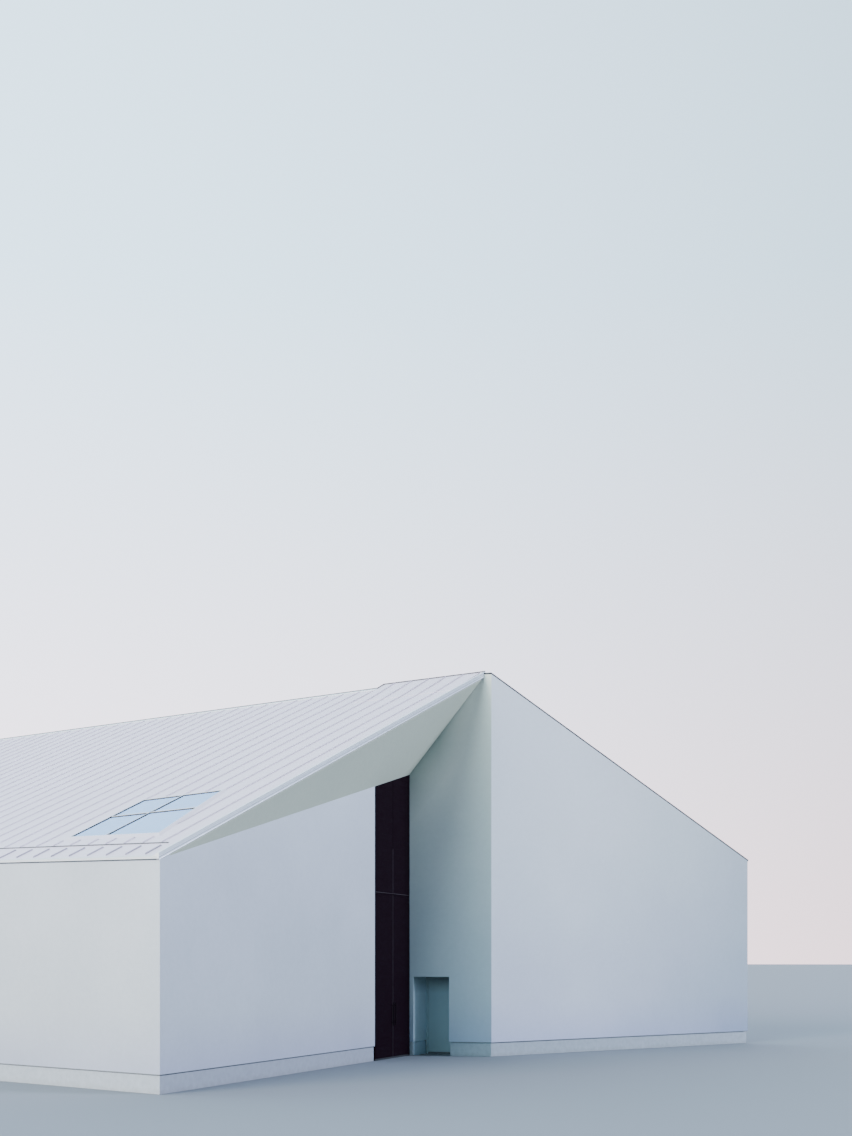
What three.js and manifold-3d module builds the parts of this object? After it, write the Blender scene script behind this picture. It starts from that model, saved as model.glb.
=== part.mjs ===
// A modern church: a plain white rendered hall under a low folded metal roof,
// with a tall dark portal in its porch.
// Millimetres, +Z up. The front faces -Y, the ridge runs along Y, and the walls stand on Z = 0.
import * as THREE from 'three';
import { mergeVertices } from 'three/addons/utils/BufferGeometryUtils.js';
import Module from 'manifold-3d';

// Plan of the outer wall faces, from the foot of the porch's front corner
const FRONT_LEFT = [-12110, 190];
const PORCH_INNER = [-806, 2050];
const PORCH_FRONT = [0, 0];
const FRONT_RIGHT = [9420, -3660];
const BACK_Y = 24000;
const SIDE_TAPER = 0.0607;

// Roof, with its ridge over X = 0
const LEFT_RIDGE_Z = 10090;
const LEFT_PITCH = 0.4628;
const RIGHT_RIDGE_Z = 10060;
const RIGHT_PITCH = 0.4735;
const LEFT_SHEET = 60;
const RIGHT_SHEET = 45;
const DECK_THICK = 220;
const EAVE_OVERHANG = 30;

// Walls, plinths and floor
const WALL_THICK = 400;
const PLINTH_TOP = 370;
const SHADOW_GROOVE = 22;
const PLINTH_SETBACK = 25;
const GROOVE_SETBACK = 65;
const FLOOR_TOP = 40;

// Portal, measured along the front left wall from its outer corner
const PORTAL_START = 9320;
const PORTAL_JAMB = 40;
const TRANSOM_Z = 4250;
const TRANSOM_HIGH = 40;
const PANEL_THICK = 60;
const LEAF_FOOT_Z = 50;
const LEAF_GAP = 6;
const MEETING_GAP = 10;

// Lift-off hinges behind the leaves: one half on the frame, the other resting on it
const HINGE_SIDE = 3;
const HINGE_BEHIND = 12;
const HINGE_RADIUS = 7;
const HINGE_REACH = 36;
const HINGE_HALF_HIGH = 70;
const PORTAL_HINGES = [450, 2100, 3750];
const DOOR_HINGES = [300, 1000, 1700];

// Side door in its recess, measured along the porch wall from the inner corner
const RECESS_START = 108;
const RECESS_WIDE = 960;
const RECESS_HIGH = 2100;
const RECESS_DEEP = 850;
const RECESS_SIDE_WALL = 200;
const RECESS_CEILING = 150;
const RECESS_SEAT = 200;
const ARM_OVERLAP = 5;
const DOOR_JAMB = 50;
const DOOR_THICK = 50;

// Porch soffit and the trims along the roof's edges
const SOFFIT_INNER_Z = 7480;
const SOFFIT_THICK = 55;
const SOFFIT_SHADOW = 15;
const VERGE_UPSTAND = 65;
const VERGE_FACE = 50;
const VERGE_LIP = 120;
const VERGE_LIP_THICK = 10;
const COPING_DEEP = 60;
const COPING_FOOT = 5;
const COPING_TOP = 50;
const RIDGE_CAP_HALF = 150;
const RIDGE_CAP_THICK = 12;
const RIDGE_SEAT = 0.5;
const RAISED_CAP_END_Y = 3440;
const RAISED_CAP_FOOT = 1400;
const RAISED_CAP_EDGE = 6;
const RAISED_CAP_FRONT_Z = 10153;
const RAISED_CAP_BACK_Z = 10180;

// Hidden gutters and the skylight in the left slope
const GUTTER_INSET = 650;
const GUTTER_SLOT = 36;
const GUTTER_HALF = 80;
const GUTTER_START_Y = 720;
const GUTTER_END_Y = BACK_Y - GUTTER_START_Y;
const LEFT_CHANNEL_Y = 1300;
const RIGHT_CHANNEL_Y = -2800;
const GUTTER_HIGH = 90;
const GUTTER_METAL = 4;
const SKY_LOW_FRONT = [-10892, 1401];
const SKY_TOP_FRONT = [-8400, 1943];
const SKY_TOP_BACK = [-8601, 4065];
const SKY_LOW_BACK = [-10759, 4065];
const SKY_CROSS_FRONT = [-9450, 1720];
const SKY_CROSS_BACK = [-9606, 4065];
const SKY_MIDDLE_Y = 2980;
const SKY_BAR = 30;
const SKY_PROUD = 35;
const SKY_DEPTH = 160;
const PANE_THICK = 24;
const PANE_BELOW = 16;

// The fitting gap that separate pieces keep, and a length beyond the whole building
const GAP = 0.3;
const FAR = 40000;

// Finishes
function finish(color, roughness, metalness) {
  return new THREE.MeshStandardMaterial({ color, roughness, metalness });
}

const render = () => finish(0xe6e8ea, 0.9, 0);
const plinthRender = () => finish(0xdadde2, 0.9, 0);
const roofMetal = () => finish(0xdedee6, 0.45, 0.3);
const paleTrim = () => finish(0xe8eaee, 0.45, 0.3);
const darkTrim = () => finish(0x2c2b30, 0.5, 0.5);
const portalFinish = () => finish(0x1c1016, 0.6, 0.1);
const doorPaint = () => finish(0xc4cdcf, 0.6, 0.1);
const concrete = () => finish(0x9c9c98, 0.9, 0);
const timber = () => finish(0xb09a78, 0.8, 0);
const glass = () => finish(0xaec6da, 0.05, 0);

// Plan geometry on [x, y] pairs
const plus = (p, d, k = 1) => [p[0] + d[0] * k, p[1] + d[1] * k];
const span = (p, q) => Math.hypot(q[0] - p[0], q[1] - p[1]);
const heading = (p, q) => [(q[0] - p[0]) / span(p, q), (q[1] - p[1]) / span(p, q)];
const leftOf = (d) => [-d[1], d[0]];
const dot = (a, b) => a[0] * b[0] + a[1] * b[1];
const cross = (a, b) => a[0] * b[1] - a[1] * b[0];

function meet(p, d, q, e) {
  const k = cross([q[0] - p[0], q[1] - p[1]], e) / cross(d, e);
  return plus(p, d, k);
}

// Moves each edge of an anticlockwise outline inwards by its own amount
function inset(outline, amounts) {
  const count = outline.length;
  const edges = outline.map((p, i) => {
    const along = heading(p, outline[(i + 1) % count]);
    return { from: plus(p, leftOf(along), amounts[i]), along };
  });
  return edges.map((edge, i) => {
    const before = edges[(i + count - 1) % count];
    return meet(before.from, before.along, edge.from, edge.along);
  });
}

// Solids
const wasm = await Module();
wasm.setup();

function toSolid(geometry) {
  const bare = geometry.clone();
  bare.deleteAttribute('normal');
  bare.deleteAttribute('uv');
  const merged = mergeVertices(bare, 1e-3);
  return new wasm.Manifold(new wasm.Mesh({
    numProp: 3,
    vertProperties: new Float32Array(merged.attributes.position.array),
    triVerts: new Uint32Array(merged.index.array),
  }));
}

function toGeometry(solid) {
  const mesh = solid.getMesh();
  const geometry = new THREE.BufferGeometry();
  geometry.setAttribute('position', new THREE.BufferAttribute(new Float32Array(mesh.vertProperties), 3));
  geometry.setIndex(new THREE.BufferAttribute(new Uint32Array(mesh.triVerts), 1));
  const flat = geometry.toNonIndexed();
  flat.computeVertexNormals();
  return flat;
}

function planShape(outline, holes = []) {
  const shape = new THREE.Shape(outline.map(([x, y]) => new THREE.Vector2(x, y)));
  holes.forEach((hole) => shape.holes.push(new THREE.Path(hole.map(([x, y]) => new THREE.Vector2(x, y)))));
  return shape;
}

// A plan outline raised from z0 to z1
function prism(outline, z0, z1) {
  const geometry = new THREE.ExtrudeGeometry(planShape(outline), { depth: z1 - z0, bevelEnabled: false });
  return toSolid(geometry.translate(0, 0, z0));
}

// A profile of [x, z] points carried along Y from y0 to y1
function alongY(profile, y0, y1) {
  const geometry = new THREE.ExtrudeGeometry(planShape(profile), { depth: y1 - y0, bevelEnabled: false });
  return toSolid(geometry.rotateX(Math.PI / 2).translate(0, y1, 0));
}

// The roof's upper faces at a place across the building
const leftTop = (x) => LEFT_RIDGE_Z + LEFT_PITCH * x;
const rightTop = (x) => RIGHT_RIDGE_Z - RIGHT_PITCH * x;

// A layer of the left or right slope between two depths under its upper face
function leftLayer(low, high) {
  const x0 = -FAR / 2;
  const x1 = -GAP / 2;
  return alongY([[x0, leftTop(x0) + low], [x1, leftTop(x1) + low], [x1, leftTop(x1) + high],
    [x0, leftTop(x0) + high]], -FAR, FAR);
}

function rightLayer(low, high) {
  const x0 = GAP / 2;
  const x1 = FAR / 2;
  return alongY([[x0, rightTop(x0) + low], [x1, rightTop(x1) + low], [x1, rightTop(x1) + high],
    [x0, rightTop(x0) + high]], -FAR, FAR);
}

// Everything below the roof sheets
function underRoof() {
  const reach = FAR / 2;
  return alongY([[-reach, -reach], [reach, -reach], [reach, rightTop(reach) - RIGHT_SHEET - GAP],
    [0, rightTop(0) - RIGHT_SHEET - GAP], [0, leftTop(0) - LEFT_SHEET - GAP],
    [-reach, leftTop(-reach) - LEFT_SHEET - GAP]], -FAR, FAR);
}

// The outline's corners, anticlockwise, and the inner faces of the walls
const taperAt = (corner, sign) => [corner[0] + sign * SIDE_TAPER * (BACK_Y - corner[1]), BACK_Y];
const BACK_LEFT = taperAt(FRONT_LEFT, 1);
const BACK_RIGHT = taperAt(FRONT_RIGHT, -1);
const OUTLINE = [FRONT_LEFT, PORCH_INNER, PORCH_FRONT, FRONT_RIGHT, BACK_RIGHT, BACK_LEFT];
const INNER = inset(OUTLINE, OUTLINE.map(() => WALL_THICK));

const wallPlan = (i) => [OUTLINE[i], OUTLINE[(i + 1) % 6], INNER[(i + 1) % 6], INNER[i]];

// The front left wall's line, and the porch wall's line
const FRONT_LINE = heading(FRONT_LEFT, PORCH_INNER);
const FRONT_IN = leftOf(FRONT_LINE);
const FRONT_LONG = span(FRONT_LEFT, PORCH_INNER);
const PORCH_LINE = heading(PORCH_INNER, PORCH_FRONT);
const PORCH_IN = leftOf(PORCH_LINE);

const onFront = (along, inward) => plus(plus(FRONT_LEFT, FRONT_LINE, along), FRONT_IN, inward);
const onPorch = (along, inward) => plus(plus(PORCH_INNER, PORCH_LINE, along), PORCH_IN, inward);

// The soffit's height over the front left wall's outer face
const SOFFIT_FOOT_Z = leftTop(FRONT_LEFT[0]) - LEFT_SHEET;
const soffitAt = (along) => SOFFIT_FOOT_Z + (SOFFIT_INNER_Z - SOFFIT_FOOT_Z) * along / FRONT_LONG;

// Recess plan: its side faces run on in the front left wall's direction
const recessFace = (along) => onPorch(along, 0);
const RECESS_END = RECESS_START + RECESS_WIDE;
const DOOR_LEFT = plus(recessFace(RECESS_START), FRONT_LINE, RECESS_DEEP);
const FRAME_BACK = plus(DOOR_LEFT, PORCH_IN, DOOR_THICK);
const PORCH_BACK = onPorch(0, WALL_THICK);
const LEFT_FACE = recessFace(RECESS_START);
const RIGHT_FACE = recessFace(RECESS_END);
const LEFT_FACE_OUT = plus(LEFT_FACE, FRONT_IN, RECESS_SIDE_WALL);
const RIGHT_FACE_OUT = plus(RIGHT_FACE, FRONT_IN, -RECESS_SIDE_WALL);

// Where a line in the recess's direction crosses a line along the porch wall
const crossing = (from, across) => meet(from, FRONT_LINE, across, PORCH_LINE);

// Plans of the porch's pieces of wall
function cornerPlan() {
  return [PORCH_INNER, LEFT_FACE, crossing(LEFT_FACE, PORCH_BACK), INNER[1],
    onFront(FRONT_LONG, WALL_THICK)];
}

function porchRightPlan() {
  return [RIGHT_FACE, PORCH_FRONT, INNER[2], crossing(RIGHT_FACE, PORCH_BACK)];
}

function overDoorPlan() {
  return [LEFT_FACE, RIGHT_FACE, crossing(RIGHT_FACE, PORCH_BACK), crossing(LEFT_FACE, PORCH_BACK)];
}

function recessLeftPlan() {
  return [crossing(LEFT_FACE, PORCH_BACK), crossing(LEFT_FACE, FRAME_BACK),
    crossing(LEFT_FACE_OUT, FRAME_BACK), crossing(LEFT_FACE_OUT, PORCH_BACK)];
}

function recessRightPlan() {
  return [crossing(RIGHT_FACE_OUT, PORCH_BACK), crossing(RIGHT_FACE_OUT, FRAME_BACK),
    crossing(RIGHT_FACE, FRAME_BACK), crossing(RIGHT_FACE, PORCH_BACK)];
}

function recessBlockPlan() {
  return [crossing(RIGHT_FACE_OUT, PORCH_BACK), crossing(RIGHT_FACE_OUT, FRAME_BACK),
    crossing(LEFT_FACE_OUT, FRAME_BACK), crossing(LEFT_FACE_OUT, PORCH_BACK)];
}

// A wall from the plinth up to the roof, or to whatever else bounds it above
function wall(plan, ends, below = underRoof()) {
  return prism(inset(plan, ends), PLINTH_TOP + GAP, FAR / 2).intersect(below);
}

// A plinth set back from the wall's face, with a deeper groove that throws the shadow line
function plinth(plan, exposed) {
  const step = (setback) => inset(plan, exposed.map((open) => (open ? setback : GAP)));
  const grooveFoot = PLINTH_TOP - SHADOW_GROOVE;
  const neck = prism(step(GROOVE_SETBACK), grooveFoot - 1, PLINTH_TOP);
  return prism(step(PLINTH_SETBACK), 0, grooveFoot).add(neck);
}

// Two plinths that make one corner
function joinedPlinth(first, firstExposed, second, secondExposed) {
  return plinth(first, firstExposed).add(plinth(second, secondExposed));
}

const whole = new THREE.Group();

function place(name, solid, material, parent = whole) {
  const mesh = new THREE.Mesh(solid.isBufferGeometry ? solid : toGeometry(solid), material);
  mesh.name = name;
  parent.add(mesh);
  return mesh;
}

// Walls
function addWalls() {
  const ends = [0, GAP, 0, GAP];
  const frontLeft = [FRONT_LEFT, onFront(PORTAL_START, 0), onFront(PORTAL_START, WALL_THICK), INNER[0]];
  place('front_left_wall', wall(frontLeft, ends), render());
  const edged = underRoof().add(copingBand(0).intersect(underCoping(COPING_FOOT)));
  place('front_right_wall', wall(wallPlan(2), ends, edged), render());
  place('right_wall', wall(wallPlan(3), ends), render());
  place('back_wall', wall(wallPlan(4), ends), render());
  place('left_wall', wall(wallPlan(5), ends), render());
  place('porch_corner_wall', wall(cornerPlan(), [0, 0, GAP, 0, GAP]), render());
  place('porch_right_wall', wall(porchRightPlan(), ends, edged), render());
  const overDoor = prism(inset(overDoorPlan(), ends), RECESS_HIGH, FAR / 2);
  place('wall_over_side_door', overDoor.intersect(underRoof()), render());
  place('wall_over_portal', wallOverPortal(), render());
}

// The strip of wall that closes the hall between the portal's sloping head and the roof
function wallOverPortal() {
  const first = PORTAL_START + GAP;
  const last = FRONT_LONG - GAP;
  const face = [[first, soffitAt(first) + GAP], [last, soffitAt(last) + GAP], [last, FAR / 2],
    [first, FAR / 2]];
  const geometry = panel(face, WALL_THICK).applyMatrix4(wallFrame(FRONT_LEFT, FRONT_LINE));
  return toSolid(geometry).intersect(underRoof());
}

// Recess walls and ceiling round the side door
function addRecess() {
  const lift = PLINTH_TOP + GAP;
  place('recess_left_wall', prism(inset(recessLeftPlan(), [0, 0, 0, GAP]), lift, RECESS_HIGH), render());
  place('recess_right_wall', prism(inset(recessRightPlan(), [0, 0, 0, GAP]), lift, RECESS_HIGH), render());
  const over = inset(recessBlockPlan(), [0, 0, 0, GAP]);
  place('recess_ceiling', prism(over, RECESS_HIGH + GAP, RECESS_HIGH + RECESS_CEILING), render());
}

// Plinths
function addPlinths() {
  const plain = [true, false, false, false];
  const frontLeft = [FRONT_LEFT, onFront(PORTAL_START, 0), onFront(PORTAL_START, WALL_THICK), INNER[0]];
  place('front_left_plinth', plinth(frontLeft, [true, true, false, false]), plinthRender());
  place('front_right_plinth', plinth(wallPlan(2), plain), plinthRender());
  place('right_plinth', plinth(wallPlan(3), plain), plinthRender());
  place('back_plinth', plinth(wallPlan(4), plain), plinthRender());
  place('left_plinth', plinth(wallPlan(5), plain), plinthRender());
  const leftArm = inset(recessLeftPlan(), [0, 0, 0, -ARM_OVERLAP]);
  const rightArm = inset(recessRightPlan(), [0, 0, 0, -ARM_OVERLAP]);
  const corner = joinedPlinth(cornerPlan(), [true, true, false, false, false], leftArm, plain);
  place('porch_corner_plinth', corner, plinthRender());
  const rightExposed = [true, false, false, true];
  const right = joinedPlinth(porchRightPlan(), rightExposed, rightArm, [false, false, true, false]);
  place('porch_right_plinth', right, plinthRender());
}

// A frame whose X runs along a wall, Y leads into the building and Z is up
function wallFrame(origin, along) {
  const x = new THREE.Vector3(along[0], along[1], 0);
  const z = new THREE.Vector3(0, 0, 1);
  const y = new THREE.Vector3().crossVectors(z, x);
  return new THREE.Matrix4().makeBasis(x, y, z).setPosition(origin[0], origin[1], 0);
}

function wallGroup(origin, along) {
  const group = new THREE.Group();
  group.applyMatrix4(wallFrame(origin, along));
  whole.add(group);
  return group;
}

// A panel in a wall's frame, from its [x, z] corners, with its outer face at Y = 0
function panel(corners, thick, holes = []) {
  const plate = new THREE.ExtrudeGeometry(planShape(corners, holes), { depth: thick, bevelEnabled: false });
  return plate.rotateX(Math.PI / 2).translate(0, thick, 0);
}

// One half of a hinge: a block on the back of the leaf or jamb that ends in its knuckle
function hingeHalf(axisX, back, side, foot) {
  const deep = HINGE_BEHIND + HINGE_RADIUS + 1;
  const block = new THREE.BoxGeometry(HINGE_REACH, deep, HINGE_HALF_HIGH);
  block.translate(axisX + side * HINGE_REACH / 2, back - 1 + deep / 2, foot + HINGE_HALF_HIGH / 2);
  const knuckle = new THREE.CylinderGeometry(HINGE_RADIUS, HINGE_RADIUS, HINGE_HALF_HIGH, 16);
  knuckle.rotateX(Math.PI / 2).translate(axisX, back + HINGE_BEHIND, foot + HINGE_HALF_HIGH / 2);
  return toSolid(block).add(toSolid(knuckle));
}

// Adds to a jamb or a leaf its halves of the hinges, the leaf's half just above the jamb's
const jambHalves = (jamb, axisX, back, side, feet) => feet
  .reduce((solid, foot) => solid.add(hingeHalf(axisX, back, side, foot)), jamb);
const leafHalves = (leaf, axisX, back, side, feet) => feet
  .reduce((solid, foot) => solid.add(hingeHalf(axisX, back, side, foot + HINGE_HALF_HIGH + GAP)), leaf);

// The portal: a dark frame with two tall leaves and, over the transom, two fixed panels under the soffit
function addPortal() {
  const group = wallGroup(FRONT_LEFT, FRONT_LINE);
  const first = PORTAL_START + GAP;
  const last = FRONT_LONG - GAP;
  const inFirst = first + PORTAL_JAMB;
  const inLast = last - PORTAL_JAMB;
  const middle = (inFirst + inLast) / 2;
  const transomLow = TRANSOM_Z - TRANSOM_HIGH / 2;
  const transomHigh = TRANSOM_Z + TRANSOM_HIGH / 2;
  const headUnder = (along) => soffitAt(along) - PORTAL_JAMB;
  const outline = [[first, FLOOR_TOP + GAP], [inFirst, FLOOR_TOP + GAP], [inFirst, transomLow],
    [inLast, transomLow], [inLast, FLOOR_TOP + GAP], [last, FLOOR_TOP + GAP], [last, soffitAt(last)],
    [first, soffitAt(first)]];
  const upperLight = [[inFirst, transomHigh], [inFirst, headUnder(inFirst)], [inLast, headUnder(inLast)],
    [inLast, transomHigh]];
  const leftEdge = inFirst + LEAF_GAP;
  const rightEdge = inLast - LEAF_GAP;
  const leftAxis = leftEdge - HINGE_SIDE;
  const rightAxis = rightEdge + HINGE_SIDE;
  const bareFrame = toSolid(panel(outline, PANEL_THICK, [upperLight]));
  const halfFrame = jambHalves(bareFrame, leftAxis, PANEL_THICK, -1, PORTAL_HINGES);
  const frame = jambHalves(halfFrame, rightAxis, PANEL_THICK, 1, PORTAL_HINGES);
  place('portal_frame', frame, portalFinish(), group);

  const half = MEETING_GAP / 2;
  const leafHead = transomLow - LEAF_GAP;
  const leafFace = (x0, x1) => [[x0, LEAF_FOOT_Z], [x1, LEAF_FOOT_Z], [x1, leafHead], [x0, leafHead]];
  const leaf = (x0, x1) => toSolid(panel(leafFace(x0, x1), PANEL_THICK));
  const leftLeaf = leafHalves(leaf(leftEdge, middle - half), leftAxis, PANEL_THICK, 1, PORTAL_HINGES);
  const rightLeaf = leafHalves(leaf(middle + half, rightEdge), rightAxis, PANEL_THICK, -1, PORTAL_HINGES);
  place('portal_left_leaf', leftLeaf, portalFinish(), group);
  place('portal_right_leaf', rightLeaf, portalFinish(), group);

  const upper = (x0, x1) => panel([[x0, transomHigh + GAP], [x1, transomHigh + GAP],
    [x1, headUnder(x1) - GAP], [x0, headUnder(x0) - GAP]], PANEL_THICK);
  place('portal_left_upper_panel', upper(inFirst + GAP, middle - half), portalFinish(), group);
  place('portal_right_upper_panel', upper(middle + half, inLast - GAP), portalFinish(), group);

  const sill = [[first, 0], [last, 0], [last, WALL_THICK - GAP], [first, WALL_THICK - GAP]];
  place('portal_sill', prism(sill, 0, FLOOR_TOP), darkTrim(), group);
}

// The side door: a flush painted leaf in a slim frame at the back of the recess
function addSideDoor() {
  const group = wallGroup(DOOR_LEFT, PORCH_LINE);
  const wide = RECESS_WIDE;
  const deep = DOOR_THICK;
  // The recess's side faces lean this far along the door in the frame's depth
  const lean = deep * dot(FRONT_LINE, PORCH_LINE) / dot(FRONT_LINE, PORCH_IN);
  const top = RECESS_HIGH - GAP;
  const leftJamb = [[0, 0], [DOOR_JAMB, 0], [DOOR_JAMB, deep], [lean, deep]];
  const rightJamb = [[wide - DOOR_JAMB, 0], [wide, 0], [wide + lean, deep], [wide - DOOR_JAMB, deep]];
  const head = [[0, 0], [wide, 0], [wide + lean, deep], [lean, deep]];
  const bareFrame = prism(inset(leftJamb, [0, 0, 0, GAP]), 0, top)
    .add(prism(inset(rightJamb, [0, GAP, 0, 0]), 0, top))
    .add(prism(inset(head, [0, GAP, 0, GAP]), RECESS_HIGH - DOOR_JAMB, top));
  const leftEdge = DOOR_JAMB + LEAF_GAP;
  const rightEdge = wide - DOOR_JAMB - LEAF_GAP;
  const axisX = leftEdge - HINGE_SIDE;
  place('side_door_frame', jambHalves(bareFrame, axisX, deep, -1, DOOR_HINGES), doorPaint(), group);

  const leaf = prism([[leftEdge, 0], [rightEdge, 0], [rightEdge, deep], [leftEdge, deep]],
    LEAF_FOOT_Z, RECESS_HIGH - DOOR_JAMB - LEAF_GAP);
  place('side_door_leaf', leafHalves(leaf, axisX, deep, 1, DOOR_HINGES), doorPaint(), group);

  const sill = [[DOOR_JAMB + GAP, 0], [wide - DOOR_JAMB - GAP, 0], [wide - DOOR_JAMB - GAP, deep],
    [DOOR_JAMB + GAP, deep]];
  place('side_door_sill', prism(sill, 0, FLOOR_TOP), darkTrim(), group);
}

// The floor fills the hall between the walls and round the recess
function addFloor() {
  const hall = prism(inset(INNER, INNER.map(() => GAP)), 0, FLOOR_TOP);
  const around = inset(recessBlockPlan(), [-GAP, -GAP, -GAP, -RECESS_SEAT]);
  place('floor_slab', hall.subtract(prism(around, -FLOOR_TOP, 2 * FLOOR_TOP)), concrete());
}

// Plans of the skylight and the gutters
function skylightPlan(shrink) {
  const corners = [SKY_LOW_FRONT, SKY_TOP_FRONT, SKY_TOP_BACK, SKY_LOW_BACK];
  return inset(corners, corners.map(() => shrink - SKY_BAR));
}

function gutterLine(side) {
  const foot = side < 0 ? FRONT_LEFT : FRONT_RIGHT;
  const back = side < 0 ? BACK_LEFT : BACK_RIGHT;
  const along = heading(foot, back);
  const inward = side < 0 ? [along[1], -along[0]] : leftOf(along);
  return { along, inward, from: plus(foot, inward, GUTTER_INSET) };
}

// A strip along the gutter line, wide on each side of it, between two depths along the building
function gutterStrip(side, wide, y0, y1) {
  const { along, inward, from } = gutterLine(side);
  const at = (y, k) => plus(plus(from, along, (y - from[1]) / along[1]), inward, k);
  const strip = [at(y0, -wide), at(y0, wide), at(y1, wide), at(y1, -wide)];
  return side < 0 ? strip : strip.reverse();
}

const gutterStart = (side) => (side < 0 ? GUTTER_START_Y : FRONT_RIGHT[1] + GUTTER_START_Y);
// A channel starts behind the front wall that lies under the first stretch of its slot
const channelStart = (side) => (side < 0 ? LEFT_CHANNEL_Y : RIGHT_CHANNEL_Y);

// Roof decks between the walls, open for the skylight and grooved for the gutters
function addDecks() {
  const hall = prism(inset(INNER, INNER.map(() => GAP)), 0, FAR / 2);
  const trough = (side) => {
    const start = channelStart(side);
    return prism(gutterStrip(side, GUTTER_HALF + GAP, start - GAP, GUTTER_END_Y + GAP), 0, FAR / 2);
  };
  const upper = -LEFT_SHEET - GAP;
  const shaft = prism(skylightPlan(0), 0, FAR / 2);
  const left = hall.intersect(leftLayer(upper - DECK_THICK, upper)).subtract(shaft);
  const leftGroove = trough(-1).intersect(leftLayer(upper - GUTTER_HIGH - GAP, 0));
  place('left_roof_deck', left.subtract(leftGroove), timber());
  const upperRight = -RIGHT_SHEET - GAP;
  const right = hall.intersect(rightLayer(upperRight - DECK_THICK, upperRight));
  const rightGroove = trough(1).intersect(rightLayer(upperRight - GUTTER_HIGH - GAP, 0));
  place('right_roof_deck', right.subtract(rightGroove), timber());
}

// Hidden gutters: open metal channels let into the decks under a narrow slot in the sheets
function addGutters() {
  const channel = (side, layer, upper) => {
    const start = channelStart(side);
    const outer = prism(gutterStrip(side, GUTTER_HALF, start, GUTTER_END_Y), 0, FAR / 2);
    const metal = GUTTER_METAL;
    const trough = gutterStrip(side, GUTTER_HALF - metal, start + metal, GUTTER_END_Y - metal);
    const hollow = prism(trough, 0, FAR / 2);
    const inside = hollow.intersect(layer(upper - GUTTER_HIGH + metal, GUTTER_HIGH));
    return outer.intersect(layer(upper - GUTTER_HIGH, upper)).subtract(inside);
  };
  place('left_gutter', channel(-1, leftLayer, -LEFT_SHEET - GAP), darkTrim());
  place('right_gutter', channel(1, rightLayer, -RIGHT_SHEET - GAP), darkTrim());
}

// Roof sheets, each one skin of its slope with a slot over its gutter
function addSheets() {
  const leftEdge = inset([FRONT_LEFT, [0, FRONT_LEFT[1]], [0, BACK_Y], BACK_LEFT],
    [VERGE_FACE + GAP, 0, COPING_DEEP + GAP, -EAVE_OVERHANG]);
  const slotPlan = (side) => gutterStrip(side, GUTTER_SLOT / 2, gutterStart(side), GUTTER_END_Y);
  const slot = (side) => prism(slotPlan(side), 0, FAR / 2);
  const left = prism(leftEdge, 0, FAR / 2).intersect(leftLayer(-LEFT_SHEET, 0))
    .subtract(prism(skylightPlan(0), 0, FAR / 2)).subtract(slot(-1));
  place('left_roof_sheet', left, roofMetal());
  const rightEdge = inset([PORCH_FRONT, FRONT_RIGHT, BACK_RIGHT, [0, BACK_Y]],
    [COPING_DEEP + GAP, -EAVE_OVERHANG, COPING_DEEP + GAP, 0]);
  const right = prism(rightEdge, 0, FAR / 2).intersect(rightLayer(-RIGHT_SHEET, 0))
    .subtract(prism(returnPlan(GAP), 0, FAR / 2)).subtract(slot(1));
  place('right_roof_sheet', right, roofMetal());
}

// The short return of the front flashing along the porch wall
function returnPlan(grow) {
  const end = meet(PORCH_FRONT, PORCH_LINE, FRONT_LEFT, [1, 0]);
  const deep = COPING_DEEP + grow;
  const corner = inset([end, PORCH_FRONT, FRONT_RIGHT, BACK_RIGHT], [deep, deep, 0, 0]);
  const endAt = (p) => meet(p, PORCH_LINE, plus(FRONT_LEFT, [0, 1], -GAP), [1, 0]);
  return [endAt(PORCH_FRONT), PORCH_FRONT, corner[1], endAt(corner[1])];
}

// The left verge: a raised folded edge that stands over the porch
function addVergeTrim() {
  const faceY = FRONT_LEFT[1];
  const lipEnd = VERGE_FACE + VERGE_LIP;
  const profile = [[0, -LEFT_SHEET], [VERGE_FACE, -LEFT_SHEET], [VERGE_FACE, GAP], [lipEnd, GAP],
    [lipEnd, VERGE_LIP_THICK], [VERGE_FACE, VERGE_UPSTAND], [0, VERGE_UPSTAND]];
  const low = FRONT_LEFT[0] - EAVE_OVERHANG;
  const long = -low - GAP;
  const geometry = new THREE.ExtrudeGeometry(planShape(profile), { depth: long, bevelEnabled: false });
  // Profile X runs back, Y runs up, and the length runs up the slope
  const lean = new THREE.Matrix4();
  lean.set(0, 0, 1, low, 1, 0, 0, faceY, 0, 1, LEFT_PITCH, leftTop(low), 0, 0, 0, 1);
  geometry.applyMatrix4(lean);
  place('left_verge_trim', toSolid(geometry), paleTrim());
}

// The band that the front coping covers, along the front right wall and a short way along the porch wall
function copingBand(overhang) {
  const rightHalf = [PORCH_FRONT, FRONT_RIGHT, BACK_RIGHT, BACK_LEFT];
  const outer = inset(rightHalf, [0, -overhang, 0, 0]);
  const inner = inset(rightHalf, [COPING_DEEP, -overhang, 0, 0]);
  const band = [PORCH_FRONT, outer[1], inner[1], returnPlan(0)[2]];
  return prism(band, 0, FAR / 2).add(prism(returnPlan(0), 0, FAR / 2));
}

// Everything lower than some way over the right slope, and level left of the ridge
function underCoping(over) {
  const reach = FAR / 2;
  return alongY([[-reach, -reach], [reach, -reach], [reach, rightTop(reach) + over], [0, rightTop(0) + over],
    [-reach, rightTop(0) + over]], -FAR, FAR);
}

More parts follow.
